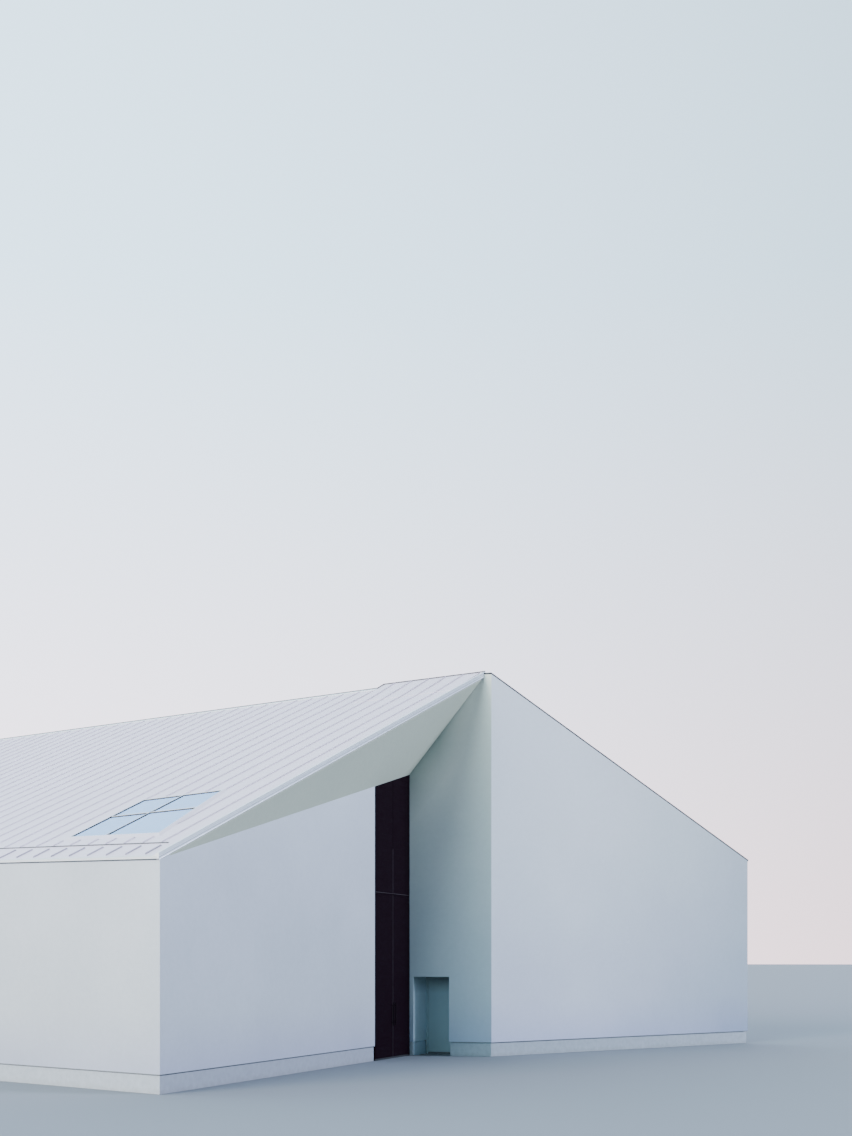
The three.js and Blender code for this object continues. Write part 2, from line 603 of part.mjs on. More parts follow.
// Copings: the front one stands on the wall's raised edge, the back one lies flush with the sheets
function addCopings() {
  const front = copingBand(EAVE_OVERHANG).intersect(underCoping(COPING_TOP));
  place('front_right_verge_flashing', front.subtract(underCoping(COPING_FOOT + GAP)), darkTrim());

  const left = BACK_LEFT[0] - EAVE_OVERHANG;
  const right = BACK_RIGHT[0] + EAVE_OVERHANG;
  const back = alongY([[left, leftTop(left) - LEFT_SHEET], [0, leftTop(0) - LEFT_SHEET],
    [0, rightTop(0) - RIGHT_SHEET], [right, rightTop(right) - RIGHT_SHEET], [right, rightTop(right)],
    [0, rightTop(0)], [0, leftTop(0)], [left, leftTop(left)]], BACK_Y - COPING_DEEP, BACK_Y);
  place('back_verge_flashing', back, darkTrim());
}

// The ridge: a flat cap along most of it, and a raised one over the porch end
function addRidge() {
  const half = RIDGE_CAP_HALF;
  const seat = RIDGE_SEAT;
  const cap = alongY([[-half, leftTop(-half) + seat], [0, leftTop(0) + seat], [half, rightTop(half) + seat],
    [half, rightTop(half) + RIDGE_CAP_THICK], [0, leftTop(0) + RIDGE_CAP_THICK],
    [-half, leftTop(-half) + RIDGE_CAP_THICK]], RAISED_CAP_END_Y + GAP, BACK_Y);
  place('ridge_cap', cap, paleTrim());

  const y0 = FRONT_LEFT[1] + VERGE_FACE + VERGE_LIP + GAP;
  const foot = leftTop(-RAISED_CAP_FOOT);
  const ring = (y, peak) => [[-RAISED_CAP_FOOT, foot + seat], [0, leftTop(0) + seat],
    [half, rightTop(half) + seat], [half, rightTop(half) + RIDGE_CAP_THICK], [0, peak],
    [-RAISED_CAP_FOOT, foot + RAISED_CAP_EDGE]].map(([x, z]) => [x, y, z]);
  const raised = loft(ring(y0, RAISED_CAP_FRONT_Z), ring(RAISED_CAP_END_Y, RAISED_CAP_BACK_Z));
  place('raised_ridge_cap', raised, roofMetal());
}

// A solid between two rings of one count, the first nearer the front, both clockwise seen from there
function loft(front, back) {
  const count = front.length;
  const flat = THREE.ShapeUtils.triangulateShape(front.map(([x, , z]) => new THREE.Vector2(x, z)), []);
  const faces = [];
  flat.forEach(([a, b, c]) => faces.push(a, b, c, count + a, count + c, count + b));
  for (let i = 0; i < count; i += 1) {
    const j = (i + 1) % count;
    faces.push(i, count + j, j, i, count + i, count + j);
  }
  const geometry = new THREE.BufferGeometry();
  geometry.setAttribute('position', new THREE.Float32BufferAttribute([...front, ...back].flat(), 3));
  geometry.setIndex(faces);
  return toSolid(geometry);
}

// The porch soffit: a leaning triangle from the verge down to the head of the front left wall
function addSoffit() {
  const faceY = FRONT_LEFT[1];
  const onVerge = (x) => leftTop(x) - LEFT_SHEET;
  // Fall of the soffit for each unit back from the verge, from its height at the porch's inner corner
  const fall = (onVerge(PORCH_INNER[0]) - SOFFIT_INNER_Z) / (PORCH_INNER[1] - faceY);
  const height = ([x, y]) => onVerge(x) - fall * (y - faceY);
  const end = meet(PORCH_FRONT, PORCH_LINE, FRONT_LEFT, [1, 0]);
  const plan = inset([FRONT_LEFT, end, PORCH_INNER], [VERGE_FACE + GAP, SOFFIT_SHADOW, GAP]);
  const lower = plan.map((p) => [...p, height(p) + GAP]);
  const upper = plan.map((p) => [...p, height(p) + GAP + SOFFIT_THICK]);
  const faces = [0, 2, 1, 3, 4, 5, 0, 1, 4, 0, 4, 3, 1, 2, 5, 1, 5, 4, 2, 0, 3, 2, 3, 5];
  const geometry = new THREE.BufferGeometry();
  geometry.setAttribute('position', new THREE.Float32BufferAttribute([...lower, ...upper].flat(), 3));
  geometry.setIndex(faces);
  place('porch_soffit', toSolid(geometry), render());
}

// The skylight: a dark frame of four unequal lights, almost flush with the sheets
function addSkylight() {
  const outer = skylightPlan(GAP);
  const lights = skylightLights();
  const body = prism(outer, 0, FAR / 2).intersect(leftLayer(-SKY_DEPTH, SKY_PROUD));
  const frame = lights.reduce((solid, light) => solid.subtract(prism(light, 0, FAR / 2)), body);
  place('skylight_frame', frame, darkTrim());
  const names = ['low_front', 'low_back', 'top_front', 'top_back'];
  const layer = leftLayer(SKY_PROUD - PANE_BELOW - PANE_THICK, SKY_PROUD - PANE_BELOW);
  lights.forEach((light, i) => {
    const pane = prism(inset(light, light.map(() => GAP)), 0, FAR / 2).intersect(layer);
    place(`skylight_pane_${names[i]}`, pane, glass());
  });
}

function skylightLights() {
  const half = SKY_BAR / 2;
  const along = heading(SKY_CROSS_FRONT, SKY_CROSS_BACK);
  const lowSide = plus(SKY_CROSS_FRONT, leftOf(along), half);
  const topSide = plus(SKY_CROSS_FRONT, leftOf(along), -half);
  const front = [0, SKY_MIDDLE_Y - half];
  const back = [0, SKY_MIDDLE_Y + half];
  const onLine = (side, p, d) => meet(side, along, p, d);
  const frontEdge = heading(SKY_LOW_FRONT, SKY_TOP_FRONT);
  const lowEdge = heading(SKY_LOW_FRONT, SKY_LOW_BACK);
  const topEdge = heading(SKY_TOP_FRONT, SKY_TOP_BACK);
  const acrossRoof = [1, 0];
  return [
    [SKY_LOW_FRONT, onLine(lowSide, SKY_LOW_FRONT, frontEdge), onLine(lowSide, front, acrossRoof),
      meet(SKY_LOW_FRONT, lowEdge, front, acrossRoof)],
    [meet(SKY_LOW_FRONT, lowEdge, back, acrossRoof), onLine(lowSide, back, acrossRoof),
      onLine(lowSide, SKY_TOP_BACK, acrossRoof), SKY_LOW_BACK],
    [onLine(topSide, SKY_LOW_FRONT, frontEdge), SKY_TOP_FRONT,
      meet(SKY_TOP_FRONT, topEdge, front, acrossRoof), onLine(topSide, front, acrossRoof)],
    [onLine(topSide, back, acrossRoof), meet(SKY_TOP_FRONT, topEdge, back, acrossRoof), SKY_TOP_BACK,
      onLine(topSide, SKY_TOP_BACK, acrossRoof)],
  ];
}

addFloor();
addWalls();
addRecess();
addPlinths();
addPortal();
addSideDoor();
addDecks();
addGutters();
addSheets();
addVergeTrim();
addCopings();
addRidge();
addSoffit();
addSkylight();

// The origin goes to the middle of the building's foot
whole.updateMatrixWorld(true);
const extent = new THREE.Box3().setFromObject(whole, true);
const middle = extent.getCenter(new THREE.Vector3());
whole.position.set(-middle.x, -middle.y, 0);
const building = new THREE.Group();
building.add(whole);
building.updateMatrixWorld(true);

export default building;
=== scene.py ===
import math

import bmesh
import bpy
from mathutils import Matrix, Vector


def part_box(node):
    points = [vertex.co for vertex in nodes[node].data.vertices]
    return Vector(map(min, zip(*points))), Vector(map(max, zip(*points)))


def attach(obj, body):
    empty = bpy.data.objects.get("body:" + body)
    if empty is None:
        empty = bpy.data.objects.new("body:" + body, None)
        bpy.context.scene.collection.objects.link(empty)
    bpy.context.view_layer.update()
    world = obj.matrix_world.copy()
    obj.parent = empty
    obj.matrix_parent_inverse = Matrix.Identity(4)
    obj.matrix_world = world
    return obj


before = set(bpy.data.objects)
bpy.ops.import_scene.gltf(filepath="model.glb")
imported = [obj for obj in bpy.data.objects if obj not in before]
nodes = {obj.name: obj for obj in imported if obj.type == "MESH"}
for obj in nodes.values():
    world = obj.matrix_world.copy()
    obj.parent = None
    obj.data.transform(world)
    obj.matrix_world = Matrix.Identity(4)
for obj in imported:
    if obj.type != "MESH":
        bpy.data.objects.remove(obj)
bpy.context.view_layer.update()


# Camera
# It stands at eye height in front of the left corner and looks level along the front wall. The lens is
# shifted up instead of tilted, so the walls stay upright.
IMAGE_HEIGHT = 1136
SENSOR = 36.0
FOCAL_PX = 1332.88
HORIZON_PX = 962
EYE = (-29.0841, -27.6909, 2.4910)
HEADING = 57.2473
FARTHEST_SEEN = 2000

camera_data = bpy.data.cameras.new("camera")
camera_data.sensor_width = SENSOR
camera_data.lens = FOCAL_PX / IMAGE_HEIGHT * SENSOR
camera_data.shift_y = (HORIZON_PX - IMAGE_HEIGHT / 2) / IMAGE_HEIGHT
camera_data.clip_end = FARTHEST_SEEN
camera = bpy.data.objects.new("camera", camera_data)
camera.location = EYE
camera.rotation_euler = (math.radians(90), 0, math.radians(-HEADING))
bpy.context.scene.collection.objects.link(camera)
bpy.context.scene.camera = camera


# Light and floor
# A pale dusk sky, brightest low behind the building, lights everything softly. Three wide lamps stand for
# the glow on the left, the blue sky beside it and the blue sky on the right. The floor is a plain pale plane.
SKY_LOW = (1.0, 0.80, 0.87, 1)
SKY_HIGH = (0.58, 0.80, 1.0, 1)
SKY_HIGH_FROM = 0.45
SKY_AWAY = (0.475, 0.66, 0.80, 1)
SKY_DIMMEST = 0.3
SKY_BRIGHTEST = 3.8
GLOW_AZIMUTH = 80
GLOW_TONE_SPAN = (-0.5, 0.3)
GLOW_LIGHT_SPAN = (-0.3, 0.9)
LAMPS = {
    "left_glow": {"azimuth": 164, "height": 16, "energy": 2.95, "wide": 24, "colour": (1.0, 0.90, 0.86)},
    "left_sky": {"azimuth": 179, "height": 16, "energy": 2.65, "wide": 24, "colour": (0.70, 0.92, 1.0)},
    "right_sky": {"azimuth": 293, "height": 22, "energy": 4.2, "wide": 20, "colour": (0.63, 0.73, 1.0)},
}
FLOOR_COLOUR = (0.248, 0.268, 0.292, 1)
FLOOR_ROUGH = 0.95
FLOOR_HALF = 1400.0
FLOOR_BELOW = 0.003


def sky_direction(azimuth, height=0):
    """The direction of a place in the sky, from its two angles in degrees."""
    level = math.cos(math.radians(height))
    return Vector((math.cos(math.radians(azimuth)) * level, math.sin(math.radians(azimuth)) * level,
                   math.sin(math.radians(height))))


def new_node(tree, kind, **values):
    """A node of a kind, with some of its sockets set."""
    node = tree.nodes.new(kind)
    for socket, value in values.items():
        node.inputs[socket.replace("_", " ")].default_value = value
    return node


def link(value, socket):
    """Leads an output to a socket, or sets the socket where the value is a number or a colour."""
    if isinstance(value, (int, float, tuple)):
        socket.default_value = value
    else:
        socket.id_data.links.new(value, socket)


def mix_tones(factor, first, second):
    """A colour between two tones, each a colour or another colour's output."""
    mix = new_node(factor.id_data, "ShaderNodeMix")
    mix.data_type = "RGBA"
    link(factor, mix.inputs["Factor"])
    link(first, mix.inputs[6])
    link(second, mix.inputs[7])
    return mix.outputs[2]


def spread(value, low, high, lowest=0.0, highest=1.0):
    """A value between low and high, stretched to run from 0 to 1 or from a lowest to a highest one."""
    fit = new_node(value.id_data, "ShaderNodeMapRange", From_Min=low, From_Max=high, To_Min=lowest,
                   To_Max=highest)
    link(value, fit.inputs["Value"])
    return fit.outputs["Result"]


def reach_along(place, direction):
    """How far a place lies along a direction."""
    project = new_node(place.id_data, "ShaderNodeVectorMath")
    project.operation = "DOT_PRODUCT"
    project.inputs[1].default_value = direction
    link(place, project.inputs[0])
    return project.outputs["Value"]


UP = Vector((0, 0, 1))
sky = bpy.data.worlds.new("soft_sky")
bpy.context.scene.world = sky
sky.use_nodes = True
direction = new_node(sky.node_tree, "ShaderNodeTexCoord").outputs["Generated"]
tone = new_node(sky.node_tree, "ShaderNodeValToRGB")
tone.color_ramp.elements[0].color = SKY_LOW
tone.color_ramp.elements[1].color = SKY_HIGH
tone.color_ramp.elements[1].position = SKY_HIGH_FROM
link(reach_along(direction, UP), tone.inputs["Fac"])
near_glow = reach_along(direction, sky_direction(GLOW_AZIMUTH))
sky_tone = mix_tones(spread(near_glow, *GLOW_TONE_SPAN), SKY_AWAY, tone.outputs["Color"])
strength = spread(near_glow, *GLOW_LIGHT_SPAN, SKY_DIMMEST, SKY_BRIGHTEST)
link(sky_tone, sky.node_tree.nodes["Background"].inputs["Color"])
link(strength, sky.node_tree.nodes["Background"].inputs["Strength"])

for lamp_name, lamp in LAMPS.items():
    lamp_data = bpy.data.lights.new(lamp_name, "SUN")
    lamp_data.energy = lamp["energy"]
    lamp_data.color = lamp["colour"]
    lamp_data.angle = math.radians(lamp["wide"])
    lamp_object = bpy.data.objects.new(lamp_name, lamp_data)
    towards_lamp = sky_direction(lamp["azimuth"], lamp["height"])
    lamp_object.rotation_euler = towards_lamp.to_track_quat("Z", "Y").to_euler()
    bpy.context.scene.collection.objects.link(lamp_object)


def shader_of(material):
    """The one shader that a material has."""
    return material.node_tree.nodes["Principled BSDF"]


def start_finish(name, colour, roughness, metallic=0.0):
    """A new material, which has a plain colour until textures are added."""
    material = bpy.data.materials.new(name)
    material.use_nodes = True
    shader = shader_of(material)
    shader.inputs["Base Color"].default_value = colour
    shader.inputs["Roughness"].default_value = roughness
    shader.inputs["Metallic"].default_value = metallic
    return material


floor_mesh = bpy.data.meshes.new("floor")
floor_corners = [(x * FLOOR_HALF, y * FLOOR_HALF, -FLOOR_BELOW)
                 for x, y in ((-1, -1), (1, -1), (1, 1), (-1, 1))]
floor_mesh.from_pydata(floor_corners, [], [(0, 1, 2, 3)])
floor_mesh.materials.append(start_finish("plain_floor", FLOOR_COLOUR, FLOOR_ROUGH))
floor = bpy.data.objects.new("floor", floor_mesh)
bpy.context.scene.collection.objects.link(floor)


# Rendered walls
# Insulated masonry under a white mineral render, floated by hand. Its grain is 2 mm sand, and the float
# leaves faint patches a hand's width across. Its colour is darker low down, and darker and bluer again at
# its foot: painted shade.
WALL_NODES = ("front_left_wall", "right_wall", "back_wall", "left_wall", "wall_over_portal")
RENDER_DARK = (0.69, 0.715, 0.745, 1)
RENDER_LIGHT = (0.775, 0.795, 0.82, 1)
RENDER_ROUGH = 0.92
SAND_GRAINS = 420
SAND_DEPTH = 0.0010
SAND_SHARE = 0.25
FLOAT_PATCHES = 9
FLOAT_DEPTH = 0.0016
FLOAT_SHARE = 0.35
WEATHER_PATCHES = 0.45
WEATHER_SHARE = 0.4
PATCH_SPAN = (0.3, 0.7)
LOW_SHADE_SHARE = (0.68, 0.68, 0.68)
SHADE_FADE_HEIGHT = 9.5
FOOT_SHADE_SHARE = (0.80, 0.81, 0.97)
FOOT_SHADE_TOP = 1.5


def place_in(material):
    """The output of a place on the piece, in metres."""
    return new_node(material.node_tree, "ShaderNodeTexCoord").outputs["Object"]


def place_axis(material, axis):
    """The place along X, Y or Z, in metres."""
    parts = new_node(material.node_tree, "ShaderNodeSeparateXYZ")
    link(place_in(material), parts.inputs[0])
    return parts.outputs[axis]


def noise(material, scale, detail=2.0, stretch=(1, 1, 1)):
    """The output of a noise with so many patches to the metre, along each axis."""
    fit = new_node(material.node_tree, "ShaderNodeMapping", Scale=[scale * k for k in stretch])
    texture = new_node(material.node_tree, "ShaderNodeTexNoise", Scale=1.0, Detail=detail)
    link(place_in(material), fit.inputs["Vector"])
    link(fit.outputs["Vector"], texture.inputs["Vector"])
    return texture.outputs["Fac"]


def calculate(operation, output, *others):
    """The result of a sum on an output and on numbers or other outputs."""
    step = new_node(output.id_data, "ShaderNodeMath")
    step.operation = operation
    for value, socket in zip((output, *others), step.inputs):
        link(value, socket)
    return step.outputs[0]


def add_relief(material, *layers):
    """Bumps on a material, each a height and how deep it is in metres."""
    below = None
    for relief, deep in layers:
        bump = new_node(material.node_tree, "ShaderNodeBump", Strength=1.0, Distance=deep)
        link(relief, bump.inputs["Height"])
        if below is not None:
            link(below, bump.inputs["Normal"])
        below = bump.outputs["Normal"]
    link(below, shader_of(material).inputs["Normal"])


def float_patches(material):
    """The patches that the float leaves in render, from 0 to 1."""
    return spread(noise(material, FLOAT_PATCHES, 4.0), *PATCH_SPAN)


def part_of(colour, shares):
    """A colour brought down to a share of its red, its green and its blue."""
    return tuple(c * k for c, k in zip(colour, shares)) + (1,)


def render_tone(material, dark, light, low_shade_share, shade_fade_height):
    """The colour of floated render, mottled at three sizes, with painted shade: darker low down, bluer at its
    foot.
    """
    weather = spread(noise(material, WEATHER_PATCHES, 3.0), *PATCH_SPAN)
    patches = calculate("MULTIPLY", float_patches(material), FLOAT_SHARE)
    both = calculate("MULTIPLY_ADD", weather, WEATHER_SHARE, patches)
    mottled = calculate("MULTIPLY_ADD", noise(material, SAND_GRAINS), SAND_SHARE, both)
    # Painted shade: the colour is darker low down and darker and bluer at the foot, fading out higher up.
    low_shade_dark = part_of(dark, low_shade_share)
    low_shade_light = part_of(light, low_shade_share)
    unshaded = mix_tones(mottled, dark, light)
    low_shade = mix_tones(mottled, low_shade_dark, low_shade_light)
    foot_shade = mix_tones(mottled, part_of(low_shade_dark, FOOT_SHADE_SHARE), part_of(low_shade_light, FOOT_SHADE_SHARE))
    height = place_axis(material, "Z")
    low_or_foot_shade = mix_tones(spread(height, 0.0, FOOT_SHADE_TOP), foot_shade, low_shade)
    above_shade = spread(calculate("ADD", height, weather), 0.0, shade_fade_height)
    return mix_tones(above_shade, low_or_foot_shade, unshaded)


def finish_nodes(names, material):
    """Gives CAD nodes one material."""
    for name in names:
        nodes[name].data.materials.clear()
        nodes[name].data.materials.append(material)


def colour_with(material, tone):
    """Gives a material its colour from a tone."""
    link(tone, shader_of(material).inputs["Base Color"])


def finish_render(names, material, tone, grain_depth):
    """Gives CAD nodes a render of one tone, with the relief that the float and the sand leave in it."""
    colour_with(material, tone)
    add_relief(material, (float_patches(material), FLOAT_DEPTH), (noise(material, SAND_GRAINS), grain_depth))
    finish_nodes(names, material)


wall_render = start_finish("white_mineral_render", RENDER_LIGHT, RENDER_ROUGH)
wall_tone = render_tone(wall_render, RENDER_DARK, RENDER_LIGHT, LOW_SHADE_SHARE, SHADE_FADE_HEIGHT)
finish_render(WALL_NODES, wall_render, wall_tone, SAND_DEPTH)


# Porch wall and door recess
# The same render on the porch wall, where the overhang keeps the sun off, in a greener copy that is darker
# and bluer low down: painted shade. It is darker again in the corner under the soffit and in the head of the
# recess, painted shade. The rest of the recess has a teal-tinted copy, painted shade, darkened only near its
# foot.
PORCH_NODES = ("porch_corner_wall", "porch_right_wall", "wall_over_side_door", "recess_left_wall",
               "recess_right_wall", "recess_ceiling")
PORCH_SHADE_DARK = (0.76, 0.79, 0.70, 1)
PORCH_SHADE_LIGHT = (0.84, 0.87, 0.775, 1)
PORCH_LOW_SHADE = (0.47, 0.63, 0.84)
RECESS_SHADE_DARK = (0.60, 0.76, 0.82, 1)
RECESS_SHADE_LIGHT = (0.67, 0.83, 0.89, 1)
RECESS_SHADE_FADE_HEIGHT = 1.0
FACE_DEPTH = (0.004, 0.010)
DEEP_SHADE_DARK = (0.33, 0.385, 0.335, 1)
DEEP_SHADE_LIGHT = (0.37, 0.425, 0.37, 1)
SOFFIT_SHADE_REACH = 0.85
CORNER_SHADE_SPAN = (0.5, 1.4)
HEAD_SHADE_REACH = 0.45


def behind_face(material, outward, face, shallow, deep):
    """How far a place lies behind a face: 0 up to a shallow depth, 1 from a deep one on."""
    return spread(reach_along(place_in(material), outward), face - shallow, face - deep)


def corner(node, towards):
    """The vertex of a CAD node that lies furthest in a direction."""
    direction = Vector(towards)
    return max((v.co for v in nodes[node].data.vertices), key=direction.dot).copy()


def level_run(start, end):
    """The level direction from one point to another, and the one to its right, which is outward."""
    along = Vector((end.x - start.x, end.y - start.y, 0)).normalized()
    return along, Vector((along.y, -along.x, 0))


porch_inner = corner("porch_corner_wall", (-1, -0.2, -1))
porch_front = corner("porch_right_wall", (-0.3, -1, -1))
porch_along, porch_out = level_run(porch_inner, porch_front)
porch_face = porch_inner.dot(porch_out)
soffit_foot = corner("porch_soffit", (-1, 0, -0.01))
soffit_inner = corner("porch_soffit", (0, 1, -0.01))
soffit_peak = corner("porch_soffit", (1, -0.3, -0.01))
soffit_up = (soffit_peak - soffit_foot).cross(soffit_inner - soffit_foot).normalized()
recess_head = corner("recess_ceiling", (0, 0, -1)).z

porch_render = start_finish("porch_render", PORCH_SHADE_LIGHT, RENDER_ROUGH)
# Painted shade: a greener copy of the render for the shaded porch, darker and bluer low down.
open_porch_tone = render_tone(porch_render, PORCH_SHADE_DARK, PORCH_SHADE_LIGHT, PORCH_LOW_SHADE, SHADE_FADE_HEIGHT)
# Painted shade: a darker tone under the soffit near the inner corner, and in the head of the recess.
deep_shade_tone = render_tone(porch_render, DEEP_SHADE_DARK, DEEP_SHADE_LIGHT, PORCH_LOW_SHADE, SHADE_FADE_HEIGHT)
clear_of_soffit = behind_face(porch_render, soffit_up, soffit_inner.dot(soffit_up), 0.0, SOFFIT_SHADE_REACH)
in_corner = behind_face(porch_render, porch_along, porch_front.dot(porch_along), *CORNER_SHADE_SPAN)
under_soffit = calculate("SUBTRACT", clear_of_soffit, 1.0)
clear_of_deep_shade = calculate("MULTIPLY_ADD", under_soffit, in_corner, 1.0)
outer_tone = mix_tones(clear_of_deep_shade, deep_shade_tone, open_porch_tone)
# Painted shade: a teal-tinted copy of the render inside the recess, darkened only near its foot.
recess_shade_tone = render_tone(porch_render, RECESS_SHADE_DARK, RECESS_SHADE_LIGHT, LOW_SHADE_SHARE, RECESS_SHADE_FADE_HEIGHT)
near_head = spread(place_axis(porch_render, "Z"), recess_head - HEAD_SHADE_REACH, recess_head)
recess_tone = mix_tones(near_head, recess_shade_tone, deep_shade_tone)
in_recess = behind_face(porch_render, porch_out, porch_face, *FACE_DEPTH)
porch_tone = mix_tones(in_recess, outer_tone, recess_tone)
finish_render(PORCH_NODES, porch_render, porch_tone, SAND_DEPTH)


# Front right wall
# The same render again, in a brighter copy beside the porch, painted light, that turns darker towards its
# outer corner and greyest near the ground: painted shade.
NEAR_DARK = (0.80, 0.805, 0.815, 1)
NEAR_LIGHT = (0.87, 0.875, 0.885, 1)
NEAR_LOW_SHADE = (0.76, 0.76, 0.86)
NEAR_SHADE_FADE_HEIGHT = 6.0
FAR_DARK = (0.63, 0.65, 0.635, 1)
FAR_LIGHT = (0.70, 0.72, 0.70, 1)
FAR_LOW_SHADE = (0.55, 0.61, 0.75)
FAR_SHADE_FROM = 0.3

front_right = corner("front_right_wall", (1, -1, -1))
front_render = start_finish("front_right_render", RENDER_LIGHT, RENDER_ROUGH)
# Painted light beside the porch, and painted shade towards the outer corner and the ground.
lit_near_tone = render_tone(front_render, NEAR_DARK, NEAR_LIGHT, NEAR_LOW_SHADE, NEAR_SHADE_FADE_HEIGHT)
shaded_far_tone = render_tone(front_render, FAR_DARK, FAR_LIGHT, FAR_LOW_SHADE, SHADE_FADE_HEIGHT)
far_shade_from = porch_front.x + (front_right.x - porch_front.x) * FAR_SHADE_FROM
far_shade = spread(place_axis(front_render, "X"), far_shade_from, front_right.x)
front_tone = mix_tones(far_shade, lit_near_tone, shaded_far_tone)
finish_render(("front_right_wall",), front_render, front_tone, SAND_DEPTH)


# Porch soffit
# Rendered boards screwed up under the rafters and painted with the walls. Sheltered from the rain, they keep
# the same slightly yellower tone from end to end.
SOFFIT_DARK = (0.535, 0.555, 0.43, 1)
SOFFIT_LIGHT = (0.597, 0.617, 0.475, 1)
SOFFIT_SHADE_FADE_HEIGHT = 4.0
SOFFIT_SAND_DEPTH = 0.0006

soffit_render = start_finish("soffit_render", SOFFIT_LIGHT, RENDER_ROUGH)
soffit_tone = render_tone(soffit_render, SOFFIT_DARK, SOFFIT_LIGHT, LOW_SHADE_SHARE, SOFFIT_SHADE_FADE_HEIGHT)
finish_render(("porch_soffit",), soffit_render, soffit_tone, SOFFIT_SAND_DEPTH)


# Plinths
# A denser, slightly greyer plinth render on concrete, set back under the wall behind a shadow groove. Rain
# splash has dulled its lowest hand's width. Under the front left wall it is a darker copy, and beside the
# porch a teal-tinted copy that is darker and more teal inside the recess: painted shade.
PLINTH_NODES = ("front_right_plinth", "right_plinth", "back_plinth", "left_plinth")
PLINTH_DARK = (0.415, 0.44, 0.47, 1)
PLINTH_LIGHT = (0.473, 0.50, 0.53, 1)
PLINTH_GRAINS = 280
PLINTH_GRAIN_DEPTH = 0.0014
PLINTH_FLOAT_DEPTH = 0.0015
SPLASH_TONE = (0.40, 0.41, 0.42, 1)
SPLASH_LOW = 0.02
SPLASH_HIGH = 0.16
PLINTH_SHADED = (0.82, 0.81, 0.83, 1)
PLINTH_PORCH_SHADE = (0.80, 0.95, 1.0, 1)
PLINTH_RECESS_SHADE = (0.62, 0.81, 0.91, 1)
PLINTH_FACE_DEPTH = (0.075, 0.085)

plinth_render = start_finish("plinth_render", PLINTH_LIGHT, RENDER_ROUGH)
plinth_patches = float_patches(plinth_render)
plinth_tone = mix_tones(plinth_patches, PLINTH_DARK, PLINTH_LIGHT)
splash_edge = calculate("MULTIPLY", plinth_patches, SPLASH_HIGH / 2)
above_splash = calculate("ADD", place_axis(plinth_render, "Z"), splash_edge)
splash = spread(above_splash, SPLASH_LOW, SPLASH_HIGH)
splashed = mix_tones(splash, SPLASH_TONE, plinth_tone)
colour_with(plinth_render, splashed)
add_relief(plinth_render, (plinth_patches, PLINTH_FLOAT_DEPTH),
           (noise(plinth_render, PLINTH_GRAINS), PLINTH_GRAIN_DEPTH))
finish_nodes(PLINTH_NODES, plinth_render)


def tone_of(material):
    """The output that a material has its colour from."""
    return shader_of(material).inputs["Base Color"].links[0].from_socket


def tinted_plinth(name, tint):
    """The plinth's finish under a tint: a copy of the material, and its colour's output."""
    material = plinth_render.copy()
    material.name = name
    tinted = new_node(material.node_tree, "ShaderNodeMix", Factor=1.0)
    tinted.data_type = "RGBA"
    tinted.blend_type = "MULTIPLY"
    link(tone_of(material), tinted.inputs[6])
    link(tint, tinted.inputs[7])
    return material, tinted.outputs[2]


# Painted shade: a darker copy of the plinth under the front left wall.
shaded_plinth, shaded_tone = tinted_plinth("shaded_plinth_render", PLINTH_SHADED)
colour_with(shaded_plinth, shaded_tone)
finish_nodes(("front_left_plinth",), shaded_plinth)

# Painted shade: a teal-tinted copy beside the porch, darker and more teal inside the recess.
porch_plinth, porch_shade_tone = tinted_plinth("porch_plinth_render", PLINTH_PORCH_SHADE)
deep_in = behind_face(porch_plinth, porch_out, porch_face, *PLINTH_FACE_DEPTH)
colour_with(porch_plinth, mix_tones(deep_in, porch_shade_tone, PLINTH_RECESS_SHADE))
finish_nodes(("porch_corner_plinth", "porch_right_plinth"), porch_plinth)


# Base rails
# A thin folded aluminium rail carries the foot of the wall's insulation. Its near-black tone is painted shade
# for the shadow in the groove. Its drip nose stands just proud of the render over the shadow groove, and it
# is pinned to the masonry behind.
RAIL_PROUD = 0.003
RAIL_HIGH = 0.008
RAIL_BACK = -0.02
RAIL_DROP = 0.0015
NOSE_FALL = 0.002
RAIL_SHADOW_TONE = (0.20, 0.205, 0.20, 1)
COAT_PATCHES = 1.7
COAT_DEEPER = (0.92, 0.92, 0.92)
GLOSS_PATCHES = 14
GLOSS_SPAN = 0.16
SHEET_WAVES = 3.0
SHEET_WAVE_DEPTH = 0.0008


def close_rings(mesh, first, second):
    """A solid between two rings of as many points."""
    rings = [[mesh.verts.new(point) for point in ring] for ring in (first, second)]
    count = len(first)
    for i in range(count):
        j = (i + 1) % count
        mesh.faces.new((rings[0][i], rings[0][j], rings[1][j], rings[1][i]))
    mesh.faces.new(rings[0][::-1])
    mesh.faces.new(rings[1])


def add_bar(mesh, profile, start, end, side, up, cut_start=0.0, cut_end=0.0):
    """A bar of [side, up] profile points between two points. Each cut leans that end back, per unit up."""
    along = (end - start).normalized()
    first = [start + side * s + up * u + along * (cut_start * u) for s, u in profile]
    second = [end + side * s + up * u - along * (cut_end * u) for s, u in profile]
    close_rings(mesh, first, second)


def make_piece(name, mesh, material, body="building"):
    """Turns a bmesh into a named piece with its finish, which moves with a body."""
    bmesh.ops.recalc_face_normals(mesh, faces=mesh.faces)
    data = bpy.data.meshes.new(name)
    mesh.to_mesh(data)
    mesh.free()
    data.materials.append(material)
    piece = bpy.data.objects.new(name, data)
    bpy.context.scene.collection.objects.link(piece)
    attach(piece, body)


